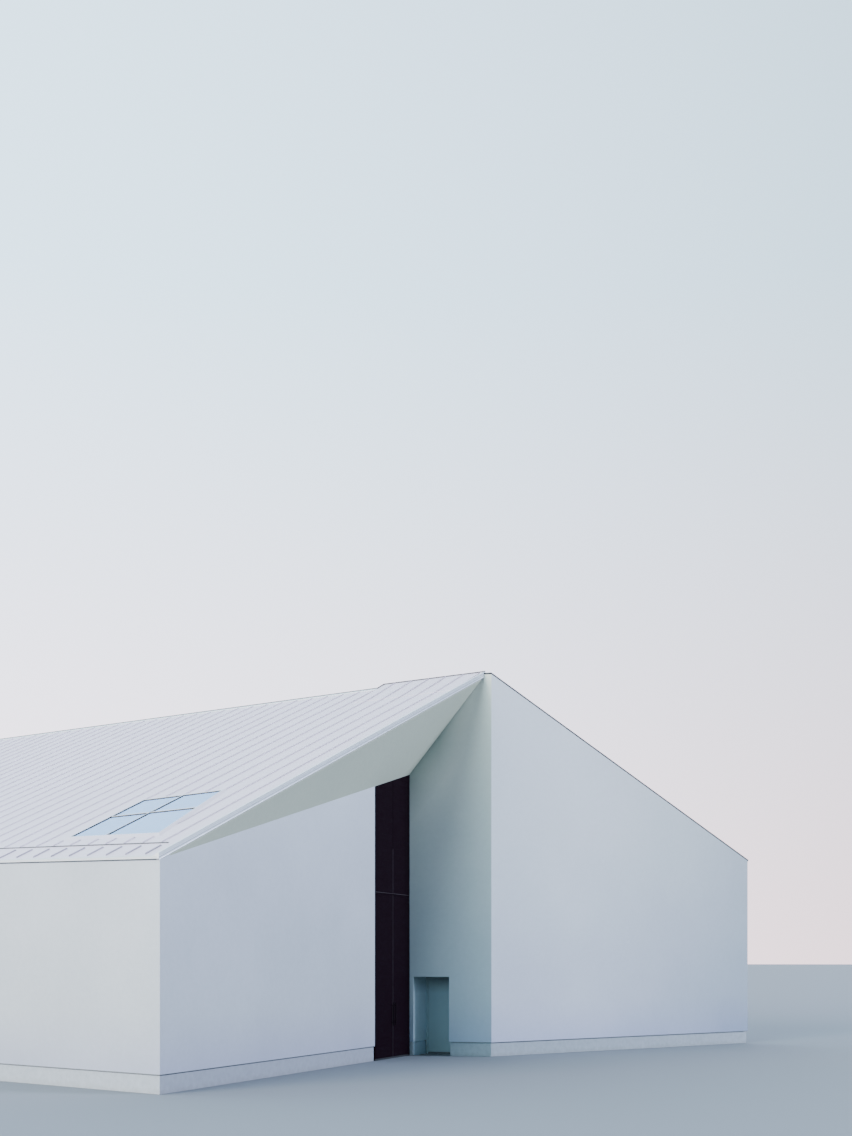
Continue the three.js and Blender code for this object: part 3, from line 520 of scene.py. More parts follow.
def coated_metal(name, colour, roughness, metallic=0.35):
    """Factory-coated sheet: an even colour with a faint drift and a slightly uneven gloss."""
    material = start_finish(name, colour, roughness, metallic)
    drift = noise(material, COAT_PATCHES, 3.0)
    colour_with(material, mix_tones(drift, part_of(colour, COAT_DEEPER), colour))
    gloss = calculate("MULTIPLY_ADD", noise(material, GLOSS_PATCHES), GLOSS_SPAN, roughness - GLOSS_SPAN / 2)
    link(gloss, shader_of(material).inputs["Roughness"])
    add_relief(material, (noise(material, SHEET_WAVES, 1.0), SHEET_WAVE_DEPTH))
    return material


front_left = corner("left_wall", (-1, -1, -1))
back_right = corner("back_wall", (1, 1, -1))
back_left = corner("back_wall", (-1, 1, -1))
portal_side = corner("front_left_wall", (1, 0.1, -1))
recess_side = corner("porch_right_wall", (-1, -0.2, -1))
recess_near = corner("porch_corner_wall", (0.2, -1, -1))
# Painted shade: the rail's near-black tone draws the shadow line in the groove.
rail_metal = coated_metal("rail_aluminium", RAIL_SHADOW_TONE, roughness=0.6, metallic=0.1)

rails = bmesh.new()
rail_profile = [(RAIL_BACK, -RAIL_DROP), (RAIL_PROUD, -NOSE_FALL - RAIL_DROP),
                (RAIL_PROUD, RAIL_HIGH - NOSE_FALL - RAIL_DROP), (0, RAIL_HIGH - RAIL_DROP),
                (RAIL_BACK, RAIL_HIGH - RAIL_DROP)]
rail_runs = ((front_left, portal_side), (recess_side, porch_front), (porch_inner, recess_near),
             (porch_front, front_right), (front_right, back_right), (back_right, back_left),
             (back_left, front_left))
for run_start, run_end in rail_runs:
    add_bar(rails, rail_profile, run_start, run_end, level_run(run_start, run_end)[1], UP)
make_piece("wall_base_rails", rails, rail_metal)


# Ground floor
# A concrete slab ground smooth and sealed, with saw cuts every three metres. It shows only through the
# open doors.
SAW_PITCH = 3.0
SAW_CUT_HALF = 0.004
SAW_CUT_DEPTH = 0.002
SAW_CUT_TONE = (0.10, 0.10, 0.10, 1)
CONCRETE_TONE = (0.45, 0.45, 0.43, 1)
CONCRETE_ROUGH = 0.45
CLOUDS = 0.9
CLOUD_TONE = (0.36, 0.36, 0.35, 1)
STONES = 160
STONE_DEPTH = 0.0002
STONE_DARK = (0.40, 0.40, 0.39, 1)
STONE_LIGHT = (0.54, 0.53, 0.51, 1)

floor_concrete = start_finish("ground_concrete", CONCRETE_TONE, CONCRETE_ROUGH)
stones = noise(floor_concrete, STONES, 3.0)
stone_tone = mix_tones(stones, STONE_DARK, STONE_LIGHT)
cut_lines = []
for axis in ("X", "Y"):
    within = calculate("PINGPONG", place_axis(floor_concrete, axis), SAW_PITCH / 2)
    cut_lines.append(spread(within, 0.0, SAW_CUT_HALF))
cut = calculate("MINIMUM", cut_lines[0], cut_lines[1])
clouded = mix_tones(noise(floor_concrete, CLOUDS, 4.0), CLOUD_TONE, stone_tone)
sawn = mix_tones(cut, SAW_CUT_TONE, clouded)
colour_with(floor_concrete, sawn)
add_relief(floor_concrete, (cut, SAW_CUT_DEPTH), (stones, STONE_DEPTH))
finish_nodes(("floor_slab",), floor_concrete)


# Roof decks
# Planed softwood boards on the rafters, seen from the hall. They run up the slope, a hand and a half wide,
# with a V groove at each joint.
BOARD_WIDE = 0.14
BOARD_TONE = (0.62, 0.47, 0.30, 1)
BOARD_DARK = (0.56, 0.42, 0.26, 1)
BOARD_LIGHT = (0.68, 0.53, 0.35, 1)
BOARD_ROUGH = 0.6
FIBRES = (3, 110, 110)
FIBRE_DEPTH = 0.0004
FIBRE_TONE = (0.46, 0.33, 0.20, 1)
GROOVE_SHARE = 0.03
GROOVE_DEPTH = 0.004
GROOVE_TONE = (0.16, 0.11, 0.07, 1)


def each_its_own(count):
    """A value between 0 and 1 that is another one at each whole step of a count."""
    texture = new_node(count.id_data, "ShaderNodeTexWhiteNoise")
    texture.noise_dimensions = "1D"
    link(calculate("FLOOR", count), texture.inputs["W"])
    return texture.outputs["Value"]


deck_boards = start_finish("deck_boards", BOARD_TONE, BOARD_ROUGH)
boards_across = calculate("DIVIDE", place_axis(deck_boards, "Y"), BOARD_WIDE)
groove = spread(calculate("PINGPONG", boards_across, 0.5), 0.0, GROOVE_SHARE)
fibre = noise(deck_boards, 1.0, 4.0, FIBRES)
plank = mix_tones(each_its_own(boards_across), BOARD_DARK, BOARD_LIGHT)
streaked = mix_tones(fibre, FIBRE_TONE, plank)
grooved = mix_tones(groove, GROOVE_TONE, streaked)
colour_with(deck_boards, grooved)
add_relief(deck_boards, (groove, GROOVE_DEPTH), (fibre, FIBRE_DEPTH))
finish_nodes(("left_roof_deck", "right_roof_deck"), deck_boards)


# Roof sheets
# Long trays of pale coated steel, 0.55 m wide, each from eave to ridge. The trays lie a little unevenly on
# their boards, and no two catch the light quite alike.
SEAM_PITCH = 0.55
SEAM_FIRST = 0.65
ROOF_TONE = (0.86, 0.745, 0.825, 1)
ROOF_TONE_DEEP = (0.82, 0.711, 0.785, 1)
ROOF_ROUGH = 0.38
ROOF_METALLIC = 0.25
DUST_PATCHES = 1.3
DUST_SHARE = 0.5
DUST_ROUGH = 0.12
WAVES = (0.8, 2.4, 0.8)
WAVE_DEPTH = 0.006

verge_low, verge_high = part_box("left_verge_trim")
first_seam = verge_low.y + SEAM_FIRST
roof_metal = start_finish("tray_metal", ROOF_TONE, ROOF_ROUGH, ROOF_METALLIC)
from_first = calculate("SUBTRACT", place_axis(roof_metal, "Y"), first_seam)
tray_tone = each_its_own(calculate("DIVIDE", from_first, SEAM_PITCH))
dust = noise(roof_metal, DUST_PATCHES, 4.0)
tray_share = calculate("MULTIPLY", tray_tone, 1 - DUST_SHARE)
tray_shade = calculate("MULTIPLY_ADD", dust, DUST_SHARE, tray_share)
roof_tone = mix_tones(tray_shade, ROOF_TONE_DEEP, ROOF_TONE)
roof_gloss = calculate("MULTIPLY_ADD", dust, DUST_ROUGH, ROOF_ROUGH)
colour_with(roof_metal, roof_tone)
link(roof_gloss, shader_of(roof_metal).inputs["Roughness"])
add_relief(roof_metal, (noise(roof_metal, 1.0, 2.0, WAVES), WAVE_DEPTH))
finish_nodes(("left_roof_sheet", "right_roof_sheet", "raised_ridge_cap"), roof_metal)


# Standing seams
# Where two trays meet, their edges are folded over each other twice into a rib 25 mm high that stands
# square to the slope. Each rib's end is dressed down at a slant. The short ribs between a gutter and its eave
# are darker, as painted shade for their shaded sides.
SEAM_HIGH = 0.025
SEAM_HEAD = 0.006
SEAM_HEAD_FROM = 0.017
SEAM_WEB = 0.003
SEAM_FOOT = 0.012
SEAM_FOOT_HIGH = 0.004
SEAM_FOLD = 0.001
SEAM_TONE = (0.72, 0.65, 0.71, 1)
SLOT_FRONT = 0.53
RIGHT_SLOT_FRONT = 0.73
SLOT_HALF = 0.018
SLOT_FLAT = 0.12
EAVE_SEAM_PITCH = 0.56
EAVE_SEAM_FIRST = 0.494
EAVE_SEAM_SHADE_TONE = (0.40, 0.36, 0.42, 1)
EAVE_FLAT = 0.11
SKYLIGHT_MARGIN = 0.10
VERGE_CLEAR = 0.02
CAP_CLEAR = 0.01


def mirrored(half):
    """A closed profile from its right half, which is listed from the foot up."""
    return half + [(-s, u) for s, u in reversed(half)]


class Slope:
    """One side of the roof, read from its sheet: its pitch, its eave line and its gutter line."""

    def __init__(self, sheet, gutter, outward):
        self.outward = outward
        ridge = corner(sheet, (-outward, 0, 10))
        eave_front = corner(sheet, (outward, -0.01, 0.001))
        eave_back = corner(sheet, (outward * 0.01, 1, -0.0001))
        self.ridge_x = ridge.x
        self.ridge_z = ridge.z
        self.fall = (eave_front.z - ridge.z) / abs(eave_front.x - ridge.x)
        self.front_y = eave_front.y
        self.back_y = eave_back.y
        self.eave_x = eave_front.x
        self.taper = (eave_back.x - eave_front.x) / (eave_back.y - eave_front.y)
        gutter_front = corner(gutter, (outward, -0.05, 0))
        gutter_other = corner(gutter, (-outward, -0.05, 0))
        self.gutter_x = (gutter_front.x + gutter_other.x) / 2
        self.gutter_y = (gutter_front.y + gutter_other.y) / 2
        self.up = Vector((outward * -self.fall, 0, 1)).normalized()

    def z(self, x):
        """The height of the sheet."""
        return self.ridge_z + self.fall * abs(x - self.ridge_x)

    def point(self, x, y):
        """A point on the sheet."""
        return Vector((x, y, self.z(x)))

    def eave(self, y):
        """The place of the eave across the building."""
        return self.eave_x + self.taper * (y - self.front_y)

    def gutter(self, y):
        """The place of the gutter's middle across the building."""
        return self.gutter_x + self.taper * (y - self.gutter_y)


def upper_face(node):
    """The corners of a four-sided node's upper face: low front, top front, top back and low back."""
    return [corner(node, (x, y, 0.001)) for x, y in ((-1, -1), (0.4, -1), (1, 1), (-1, 1))]


def cross_places(polygon, y):
    """Where a line along X at y crosses a convex outline: its first and last X, or nothing."""
    found = []
    for p, q in zip(polygon, polygon[1:] + polygon[:1]):
        if (p.y - y) * (q.y - y) < 0:
            found.append(p.x + (q.x - p.x) * (y - p.y) / (q.y - p.y))
    return (min(found), max(found)) if found else None


def seam_places(first, pitch, back):
    """The places of seams along the building, from the first one to the verge at the back."""
    y = first
    while y < back - VERGE_CLEAR:
        yield y
        y += pitch


def add_seam(mesh, slope, x_low, x_high, y):
    """A seam up the slope between two places across the building, if it is long enough to show."""
    if abs(x_high - x_low) > 2 * SEAM_HIGH:
        add_bar(mesh, SEAM_PROFILE, slope.point(x_low, y), slope.point(x_high, y), ALONG_RIDGE, slope.up,
                1.0, 1.0)


ALONG_RIDGE = Vector((0, 1, 0))
SEAM_PROFILE = mirrored([(SEAM_FOOT, 0), (SEAM_WEB, SEAM_FOOT_HIGH), (SEAM_WEB, SEAM_HEAD_FROM),
                         (SEAM_HEAD, SEAM_HEAD_FROM + SEAM_FOLD), (SEAM_HEAD, SEAM_HIGH - SEAM_FOLD),
                         (SEAM_WEB, SEAM_HIGH)])
seam_metal = coated_metal("seam_metal", SEAM_TONE, roughness=0.45, metallic=0.25)
# Painted shade: the short ribs at the eaves are darker.
eave_seam_shade_metal = coated_metal("eave_seam_shade_metal", EAVE_SEAM_SHADE_TONE, roughness=0.5, metallic=0.25)
left_slope = Slope("left_roof_sheet", "left_gutter", -1)
right_slope = Slope("right_roof_sheet", "right_gutter", 1)
cap_low, cap_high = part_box("ridge_cap")
raised_low, raised_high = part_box("raised_ridge_cap")
frame_outline = upper_face("skylight_frame")
frame_middle = sum(frame_outline, Vector()) / len(frame_outline)
kept_clear = [p + Vector((math.copysign(SKYLIGHT_MARGIN, p.x - frame_middle.x),
                          math.copysign(SKYLIGHT_MARGIN, p.y - frame_middle.y), 0)) for p in frame_outline]

left_seams = bmesh.new()
for y in seam_places(first_seam, SEAM_PITCH, left_slope.back_y):
    top = raised_low.x if y < raised_high.y else cap_low.x
    slot_here = verge_low.y + SLOT_FRONT < y < left_slope.back_y - SLOT_FRONT
    low = left_slope.gutter(y) + SLOT_HALF if slot_here else left_slope.eave(y)
    across = cross_places(kept_clear, y)
    if across:
        add_seam(left_seams, left_slope, low, across[0], y)
        low = across[1]
    add_seam(left_seams, left_slope, low, top - CAP_CLEAR, y)
make_piece("left_roof_seams", left_seams, seam_metal)

right_seams = bmesh.new()
front_slant = (front_right.y - porch_front.y) / (front_right.x - porch_front.x)
first_right = first_seam - math.floor((first_seam - front_right.y) / SEAM_PITCH) * SEAM_PITCH
for y in seam_places(first_right, SEAM_PITCH, right_slope.back_y):
    inner = cap_high.x + CAP_CLEAR
    if y < porch_front.y + SEAM_FIRST / 2:
        front_wall = porch_front.x + (y - porch_front.y) / front_slant
        inner = max(inner, front_wall + SKYLIGHT_MARGIN / abs(front_slant))
    slot_here = y > front_right.y + RIGHT_SLOT_FRONT
    high = right_slope.gutter(y) - SLOT_HALF if slot_here else right_slope.eave(y)
    add_seam(right_seams, right_slope, inner, high, y)
make_piece("right_roof_seams", right_seams, seam_metal)

for side_name, slope, front_y in (("left", left_slope, verge_low.y), ("right", right_slope, front_right.y)):
    eave_seams = bmesh.new()
    for y in seam_places(front_y + EAVE_SEAM_FIRST, EAVE_SEAM_PITCH, slope.back_y):
        add_seam(eave_seams, slope, slope.eave(y) - slope.outward * EAVE_FLAT,
                 slope.gutter(y) + slope.outward * SLOT_FLAT, y)
    make_piece(side_name + "_eave_seams", eave_seams, eave_seam_shade_metal)


# Raised ridge over the porch
# The trays fold up over a tapered timber upstand that lifts the ridge towards its back end. Their seams
# carry on over it. A cover strip closes the joint along the top, turns down over the back end, and carries
# on along the rest of the ridge. Its near-black tone is painted shade for the shaded face of the ridge.
STRIP_HALF = 0.01
STRIP_CROWN = 0.006
STRIP_FOOT = -0.004
STRIP_ROUND = 0.003
RAISED_STRIP_HIGH = 0.021
LOW_STRIP_HIGH = 0.013
TURNED_DOWN = 0.24
SEAM_TAIL = 0.02
RIDGE_SHADE_TONE = (0.025, 0.027, 0.03, 1)


def strip_profile(high):
    """A cover strip's section, with its upper edges rounded off."""
    return mirrored([(STRIP_HALF, STRIP_FOOT), (STRIP_HALF, high - STRIP_ROUND), (STRIP_CROWN, high)])


# Painted shade: the strips' near-black tone draws the shaded face along the ridge.
ridge_shade_metal = coated_metal("ridge_strip_shade_metal", RIDGE_SHADE_TONE, roughness=0.85, metallic=0.0)
peak_front = corner("raised_ridge_cap", (0, -1, 1))
peak_back = corner("raised_ridge_cap", (0, 1, 1))
foot_front = corner("raised_ridge_cap", (-1, -0.1, 0.01))
foot_back = corner("raised_ridge_cap", (-1, 0.1, 0.01))

raised_seams = bmesh.new()
for y in seam_places(first_seam, SEAM_PITCH, peak_back.y):
    foot = Vector((foot_front.x, y, foot_front.z))
    peak = peak_front.lerp(peak_back, (y - peak_front.y) / (peak_back.y - peak_front.y))
    run = (peak - foot).normalized()
    add_bar(raised_seams, SEAM_PROFILE, foot - run * SEAM_TAIL, peak, ALONG_RIDGE,
            Vector((-run.z, 0, run.x)), 1.0)
make_piece("raised_ridge_seams", raised_seams, seam_metal)

ACROSS_RIDGE = Vector((1, 0, 0))
raised_strip = bmesh.new()
raised_profile = strip_profile(RAISED_STRIP_HIGH)
verge_peak = Vector((peak_front.x, verge_low.y, peak_front.z))
add_bar(raised_strip, raised_profile, verge_peak, peak_front, ACROSS_RIDGE, UP)
add_bar(raised_strip, raised_profile, peak_front, peak_back, ACROSS_RIDGE, UP)
inset = Vector((0, STRIP_HALF, 0))
turned_end = peak_back.lerp(foot_back, TURNED_DOWN)
down = (turned_end - peak_back).normalized()
add_bar(raised_strip, raised_profile, peak_back - inset, turned_end - inset, ALONG_RIDGE,
        Vector((down.z, 0, -down.x)))
make_piece("raised_ridge_strip", raised_strip, ridge_shade_metal)

low_strip = bmesh.new()
cap_top = Vector(((cap_low.x + cap_high.x) / 2, peak_back.y, cap_high.z))
cap_end = Vector((cap_top.x, cap_high.y, cap_high.z))
add_bar(low_strip, strip_profile(LOW_STRIP_HIGH), cap_top, cap_end, ACROSS_RIDGE, UP)
make_piece("ridge_strip", low_strip, ridge_shade_metal)


# Verge
# The left slope ends over the porch in a fascia of pale coated aluminium, folded on a brake and clipped over
# a timber upstand. It has a bead and a lap joint along its length. The lap's grey strip and the near-black
# strip behind its drip are painted shade, for the shadow lines under the bead and under the drip.
PALE_TONE = (0.84, 0.85, 0.86, 1)
LAP_SHADE_TONE = (0.36, 0.38, 0.41, 1)
DRIP_SHADOW_TONE = (0.03, 0.03, 0.03, 1)
DRIP_PROFILE = [(0, -0.050), (0.003, -0.050), (0.007, -0.064), (0.006, -0.068), (-0.004, -0.068),
                (-0.004, -0.050)]
TOP_FOLD_PROFILE = [(-0.048, 0.065), (-0.048, 0.068), (0.004, 0.068), (0.006, 0.065), (0.004, 0.053),
                    (0, 0.053), (0, 0.065)]
BEAD_PROFILE = [(0, 0.0075), (0.006, 0.0095), (0.006, 0.014), (0, 0.0205)]
LAP_PROFILE = [(0, -0.025), (0.001, -0.025), (0.001, -0.015), (0, -0.015)]
DRIP_SHADOW_PROFILE = [(-0.045, -0.079), (-0.006, -0.079), (-0.006, -0.0605), (-0.045, -0.0605)]
FOLD_SHORT = 0.004
DRIP_SHADOW_SHORT = 0.05

pale_trim = coated_metal("pale_trim_metal", PALE_TONE, roughness=0.42)
# Painted shade: the grey lap strip draws the shadow line under the bead.
lap_metal = coated_metal("verge_lap_shade_metal", LAP_SHADE_TONE, roughness=0.6, metallic=0.0)
# Painted shade: the near-black strip behind the drip draws the shadow line under it.
drip_shadow_metal = coated_metal("drip_shadow_strip_metal", DRIP_SHADOW_TONE, roughness=0.8, metallic=0.0)
finish_nodes(("left_verge_trim", "ridge_cap"), pale_trim)


def add_verge_bar(mesh, profile, short_left, short_right):
    """A bar along the verge's face, of [out, up] profile points from the height of the roof sheet."""
    first, last = verge_low.x + short_left, verge_high.x - short_right
    add_bar(mesh, profile, Vector((first, verge_low.y, left_slope.z(first))),
            Vector((last, verge_low.y, left_slope.z(last))), -ALONG_RIDGE, UP)


verge_folds = bmesh.new()
for profile in (DRIP_PROFILE, TOP_FOLD_PROFILE, BEAD_PROFILE):
    add_verge_bar(verge_folds, profile, 0, FOLD_SHORT)
make_piece("verge_folds", verge_folds, pale_trim)

lap = bmesh.new()
add_verge_bar(lap, LAP_PROFILE, 0, FOLD_SHORT)
make_piece("verge_lap_joint", lap, lap_metal)

drip_shadow_strip = bmesh.new()
add_verge_bar(drip_shadow_strip, DRIP_SHADOW_PROFILE, DRIP_SHADOW_SHORT, DRIP_SHADOW_SHORT)
make_piece("verge_drip_shadow_strip", drip_shadow_strip, drip_shadow_metal)


# Eaves
# A folded aluminium edge closes the ends of the trays over each long wall. Under its lip a near-black strip
# draws the shadow line beneath the edge: painted shade.
EAVE_TONE = (0.79, 0.79, 0.78, 1)
EAVE_SHADOW_TONE = (0.02, 0.02, 0.02, 1)
LIP_THICK = 0.004
LIP_DRIP = 0.008
LIP_HOOK = 0.006
LIP_TOP = 0.001
LIP_LAP = -0.06
LIP_LAP_HIGH = 0.030
VENT_HIGH = 0.016
VENT_THICK = 0.002

eave_metal = coated_metal("eave_metal", EAVE_TONE, roughness=0.45, metallic=0.2)
# Painted shade: the near-black strip under the eave's lip.
eave_shadow_metal = coated_metal("eave_shadow_metal", EAVE_SHADOW_TONE, roughness=0.8, metallic=0.0)
for side_name, outward in (("left", -1), ("right", 1)):
    sheet = side_name + "_roof_sheet"
    start = corner(sheet, (outward * 3, -1, 1))
    end = corner(sheet, (outward * 3, 1, 1))
    foot = corner(sheet, (outward * 3, -1, -1)).z - start.z
    run = (end - start).normalized()
    away = Vector((run.y, -run.x, 0)) * outward
    edge = bmesh.new()
    lip = foot + VENT_HIGH
    edge_profile = [(0, lip + LIP_THICK), (LIP_DRIP, lip), (LIP_THICK, lip + LIP_HOOK), (LIP_THICK, LIP_TOP),
                    (LIP_LAP, LIP_LAP_HIGH), (LIP_LAP, LIP_LAP_HIGH - LIP_THICK), (0, -LIP_TOP)]
    add_bar(edge, edge_profile, start, end, away, UP)
    make_piece(side_name + "_eave_edge", edge, eave_metal)
    vent = bmesh.new()
    if outward < 0:
        start = start - run * ((start.y - verge_low.y) / run.y)
    vent_profile = [(0, foot), (VENT_THICK, foot), (VENT_THICK, lip), (0, lip)]
    add_bar(vent, vent_profile, start, end, away, UP)
    make_piece(side_name + "_eave_shadow_strip", vent, eave_shadow_metal)


# Gutter slots
# The hidden gutters take the rain through a slot across the trays. A perforated bar keeps leaves out; its
# near-black tone is painted shade for the shadow line along the slot. The trays on both sides are hemmed down
# into the slot.
GUARD_HALF = 0.014
GUARD_PROUD = 0.014
GUARD_FOOT = -0.002
GUARD_LAP = 0.10
GUARD_SHADE_TONE = (0.05, 0.05, 0.045, 1)
HEM_WIDE = 0.012
HEM_HIGH = 0.003
HEM_FOOT = -0.01
SLOT_INSET = 0.72

# Painted shade: the guard's near-black tone draws the shadow line at the slot.
guard_metal = coated_metal("leaf_guard_metal", GUARD_SHADE_TONE, roughness=0.7, metallic=0.0)
guard_profile = mirrored([(GUARD_HALF, GUARD_FOOT), (GUARD_HALF, GUARD_PROUD)])
for side_name, slope, first_y in (("left", left_slope, verge_low.y + SLOT_FRONT),
                                  ("right", right_slope, front_right.y + SLOT_INSET)):
    start_y = first_y - GUARD_LAP
    end_y = back_right.y - SLOT_INSET + GUARD_LAP
    start = slope.point(slope.gutter(start_y), start_y)
    end = slope.point(slope.gutter(end_y), end_y)
    across = Vector((-slope.outward, 0, slope.z(-slope.outward) - slope.z(0))).normalized()
    guard = bmesh.new()
    add_bar(guard, guard_profile, start, end, across, slope.up)
    make_piece(side_name + "_leaf_guard", guard, guard_metal)
    hems = bmesh.new()
    for way in (-1, 1):
        inner = way * SLOT_HALF
        outer = way * (SLOT_HALF + HEM_WIDE)
        add_bar(hems, [(outer, 0), (outer, HEM_HIGH / 2), (inner, HEM_HIGH), (inner, HEM_FOOT)], start, end,
                across, slope.up)
    make_piece(side_name + "_slot_hems", hems, roof_metal)


# Skylight
# An aluminium frame of four lights with insulating glass; its near-black tone is painted shade for the shaded
# reveals round the lights. Pale caps are pressed onto its bars, and the ones along the eave turn down into
# each light. Dark rubber seals bridge them where the bars cross, and pale flashings lead from the frame's
# outer edge down onto the trays.
CAP_HIGH = 0.003
CROSS_CAP_HIGH = 0.0024
CAP_LIP = 0.0015
CAP_SHEET = 0.003
SEAL_HALF = 0.012
SEAL_HIGH = 0.005
FLASHING_WIDE = 0.085
FLASHING_THICK = 0.002
FRAME_SHADE_TONE = (0.012, 0.012, 0.012, 1)
CAP_TONE = (0.70, 0.72, 0.78, 1)
GLASS_TONE = (0.62, 0.78, 1.0, 1)
GLASS_SHEEN = (0.50, 0.64, 0.84, 1)
GLASS_CLEAR = 0.92
GLASS_IOR = 1.8
GLASS_ROUGH = 0.03
GLASS_METALLIC = 0.4
GLASS_WAVES = 2.0
GLASS_WAVE_DEPTH = 0.0006

# Painted shade: the frame's near-black tone shows as the shaded reveals where the caps leave it bare.
frame_metal = coated_metal("skylight_frame_metal", FRAME_SHADE_TONE, roughness=0.7, metallic=0.0)
cap_metal = coated_metal("skylight_cap_metal", CAP_TONE, roughness=0.4)
finish_nodes(("skylight_frame",), frame_metal)
low_front, low_back, top_front, top_back = [upper_face("skylight_pane_" + place) for place in
                                            ("low_front", "low_back", "top_front", "top_back")]
frame_top = frame_outline[0].z - left_slope.z(frame_outline[0].x)


def over_frame(p, lift):
    """A point over the skylight frame's upper face."""
    return Vector((p.x, p.y, left_slope.z(p.x) + frame_top + lift))


def add_plate(mesh, outline, low, high):
    """A plate over the skylight, from its plan outline, between two heights over the frame."""
    close_rings(mesh, [over_frame(p, low) for p in outline], [over_frame(p, high) for p in outline])


def flashing_foot(before, at, after):
    """Where the outer edges of two flashings meet on the trays, outside a corner of the frame."""
    first = level_run(before, at)[1]
    second = level_run(at, after)[1]
    foot = at + (first + second) / (1 + first.dot(second)) * FLASHING_WIDE
    return Vector((foot.x, foot.y, left_slope.z(foot.x)))


caps = bmesh.new()
glass_outline = [low_front[0], top_front[1], top_back[2], low_back[3]]
for i in range(4):
    j = (i + 1) % 4
    add_plate(caps, [frame_outline[i], frame_outline[j], glass_outline[j], glass_outline[i]], 0, CAP_HIGH)
add_plate(caps, [low_front[1], top_front[0], top_back[3], low_back[2]], 0, CAP_HIGH)
for front, back in ((low_front, low_back), (top_front, top_back)):
    add_plate(caps, [front[3], front[2], back[1], back[0]], 0, CROSS_CAP_HIGH)
for light in (low_front, low_back, top_front, top_back):
    centre = sum(light, Vector()) / len(light)
    inner = [p.lerp(centre, CAP_SHEET / (centre - p).length) for p in light]
    for i, j in ((1, 2), (3, 0)):
        add_plate(caps, [light[i], light[j], inner[j], inner[i]], -CAP_LIP, CAP_HIGH)
make_piece("skylight_caps", caps, cap_metal)

seals = bmesh.new()
reach = Vector((0, SEAL_HALF, 0))
for low_end, top_end in ((low_front[2], top_front[3]), (low_back[2], top_back[3])):
    add_plate(seals, [low_end - reach, top_end - reach, top_end + reach, low_end + reach], CAP_HIGH,
              CAP_HIGH + SEAL_HIGH)
make_piece("skylight_seals", seals, frame_metal)

flashings = bmesh.new()
feet = [flashing_foot(frame_outline[i - 1], frame_outline[i], frame_outline[(i + 1) % 4]) for i in range(4)]
for i in range(4):
    j = (i + 1) % 4
    sheet = [feet[i], feet[j], over_frame(frame_outline[j], 0), over_frame(frame_outline[i], 0)]
    close_rings(flashings, [p - UP * FLASHING_THICK for p in sheet], [p + UP * FLASHING_THICK for p in sheet])
make_piece("skylight_flashings", flashings, roof_metal)

sky_glass = start_finish("roof_glass", GLASS_TONE, GLASS_ROUGH, GLASS_METALLIC)
glass_shader = shader_of(sky_glass)
glass_shader.inputs["Transmission Weight"].default_value = GLASS_CLEAR
glass_shader.inputs["IOR"].default_value = GLASS_IOR
glass_shader.inputs["Specular Tint"].default_value = GLASS_SHEEN
add_relief(sky_glass, (noise(sky_glass, GLASS_WAVES, 1.0), GLASS_WAVE_DEPTH))
finish_nodes(("skylight_pane_low_front", "skylight_pane_low_back", "skylight_pane_top_front",
              "skylight_pane_top_back"), sky_glass)


# Copings and sills
# Dark coated sheet, folded on a brake. It covers the heads of the front right wall and the back wall, lines
# the gutters, and makes the sills under the doors, of which the side door's is paler.
DARK_TONE = (0.036, 0.036, 0.038, 1)
SILL_TONE = (0.12, 0.15, 0.17, 1)

dark_trim = coated_metal("dark_trim_metal", DARK_TONE, roughness=0.62)
sill_metal = coated_metal("door_sill_metal", SILL_TONE, roughness=0.5)
finish_nodes(("front_right_verge_flashing", "back_verge_flashing", "left_gutter", "right_gutter",
              "portal_sill"), dark_trim)
finish_nodes(("side_door_sill",), sill_metal)


# Portal
# Two tall leaves and two fixed panels of burgundy-black aluminium boards on steel frames. The boards lie
# across, clipped with 5 mm joints, and their faces are lightly brushed by weather. Flat strips cover the
# joint in the middle, and a drip covers the one over the leaves.
PORTAL_NODES = ("portal_frame", "portal_left_leaf", "portal_right_leaf", "portal_left_upper_panel",
                "portal_right_upper_panel")
PORTAL_TONE = (0.0060, 0.0010, 0.0036, 1)
PORTAL_SHINE = 0.08
PORTAL_SHEEN = (1.0, 0.72, 0.86, 1)
BOARD_PITCH = 0.165
BOARD_JOINT = 0.005
BOARD_PROUD = 0.006
BOARD_BACK = -0.001
BOARD_MARGIN = 0.004
BOARD_BEVEL = 0.0015
STRIP_TONE = (0.024, 0.012, 0.017, 1)
STRIP_WIDE = 0.012
STRIP_PROUD = 0.009
STRIP_EDGE = 0.002
STRIP_GAP = 0.003
COVER_FROM = 0.01
COVER_TO = 1.15
TRANSOM_TONE = (0.085, 0.062, 0.068, 1)
TRANSOM_PROFILE = [(-0.001, -0.006), (0.010, -0.008), (0.012, -0.004), (0.010, 0.001), (-0.001, 0.004)]
TRANSOM_DROP = 0.008
PULL_TONE = (0.006, 0.003, 0.005, 1)
PULL_SHINE = 0.12
PULL_LOW = 0.85
PULL_HIGH = 1.45
PULL_IN = 0.065
PULL_OUT = 0.055
PULL_RADIUS = 0.011
PULL_SIDES = 12
POST_RADIUS = 0.0077
POST_IN = 0.08
SAME_FACE = 0.001

portal_finish = coated_metal("portal_cladding", PORTAL_TONE, roughness=0.75, metallic=0.0)
strip_finish = coated_metal("portal_strip_metal", STRIP_TONE, roughness=0.5)
transom_metal = coated_metal("transom_drip_metal", TRANSOM_TONE, roughness=0.5)
pull_metal = coated_metal("portal_pull_metal", PULL_TONE, roughness=0.8, metallic=0.0)
portal_shader = shader_of(portal_finish)
portal_shader.inputs["Specular IOR Level"].default_value = PORTAL_SHINE
portal_shader.inputs["Specular Tint"].default_value = PORTAL_SHEEN
shader_of(pull_metal).inputs["Specular IOR Level"].default_value = PULL_SHINE
finish_nodes(PORTAL_NODES, portal_finish)

portal_along, portal_out = level_run(front_left, portal_side)


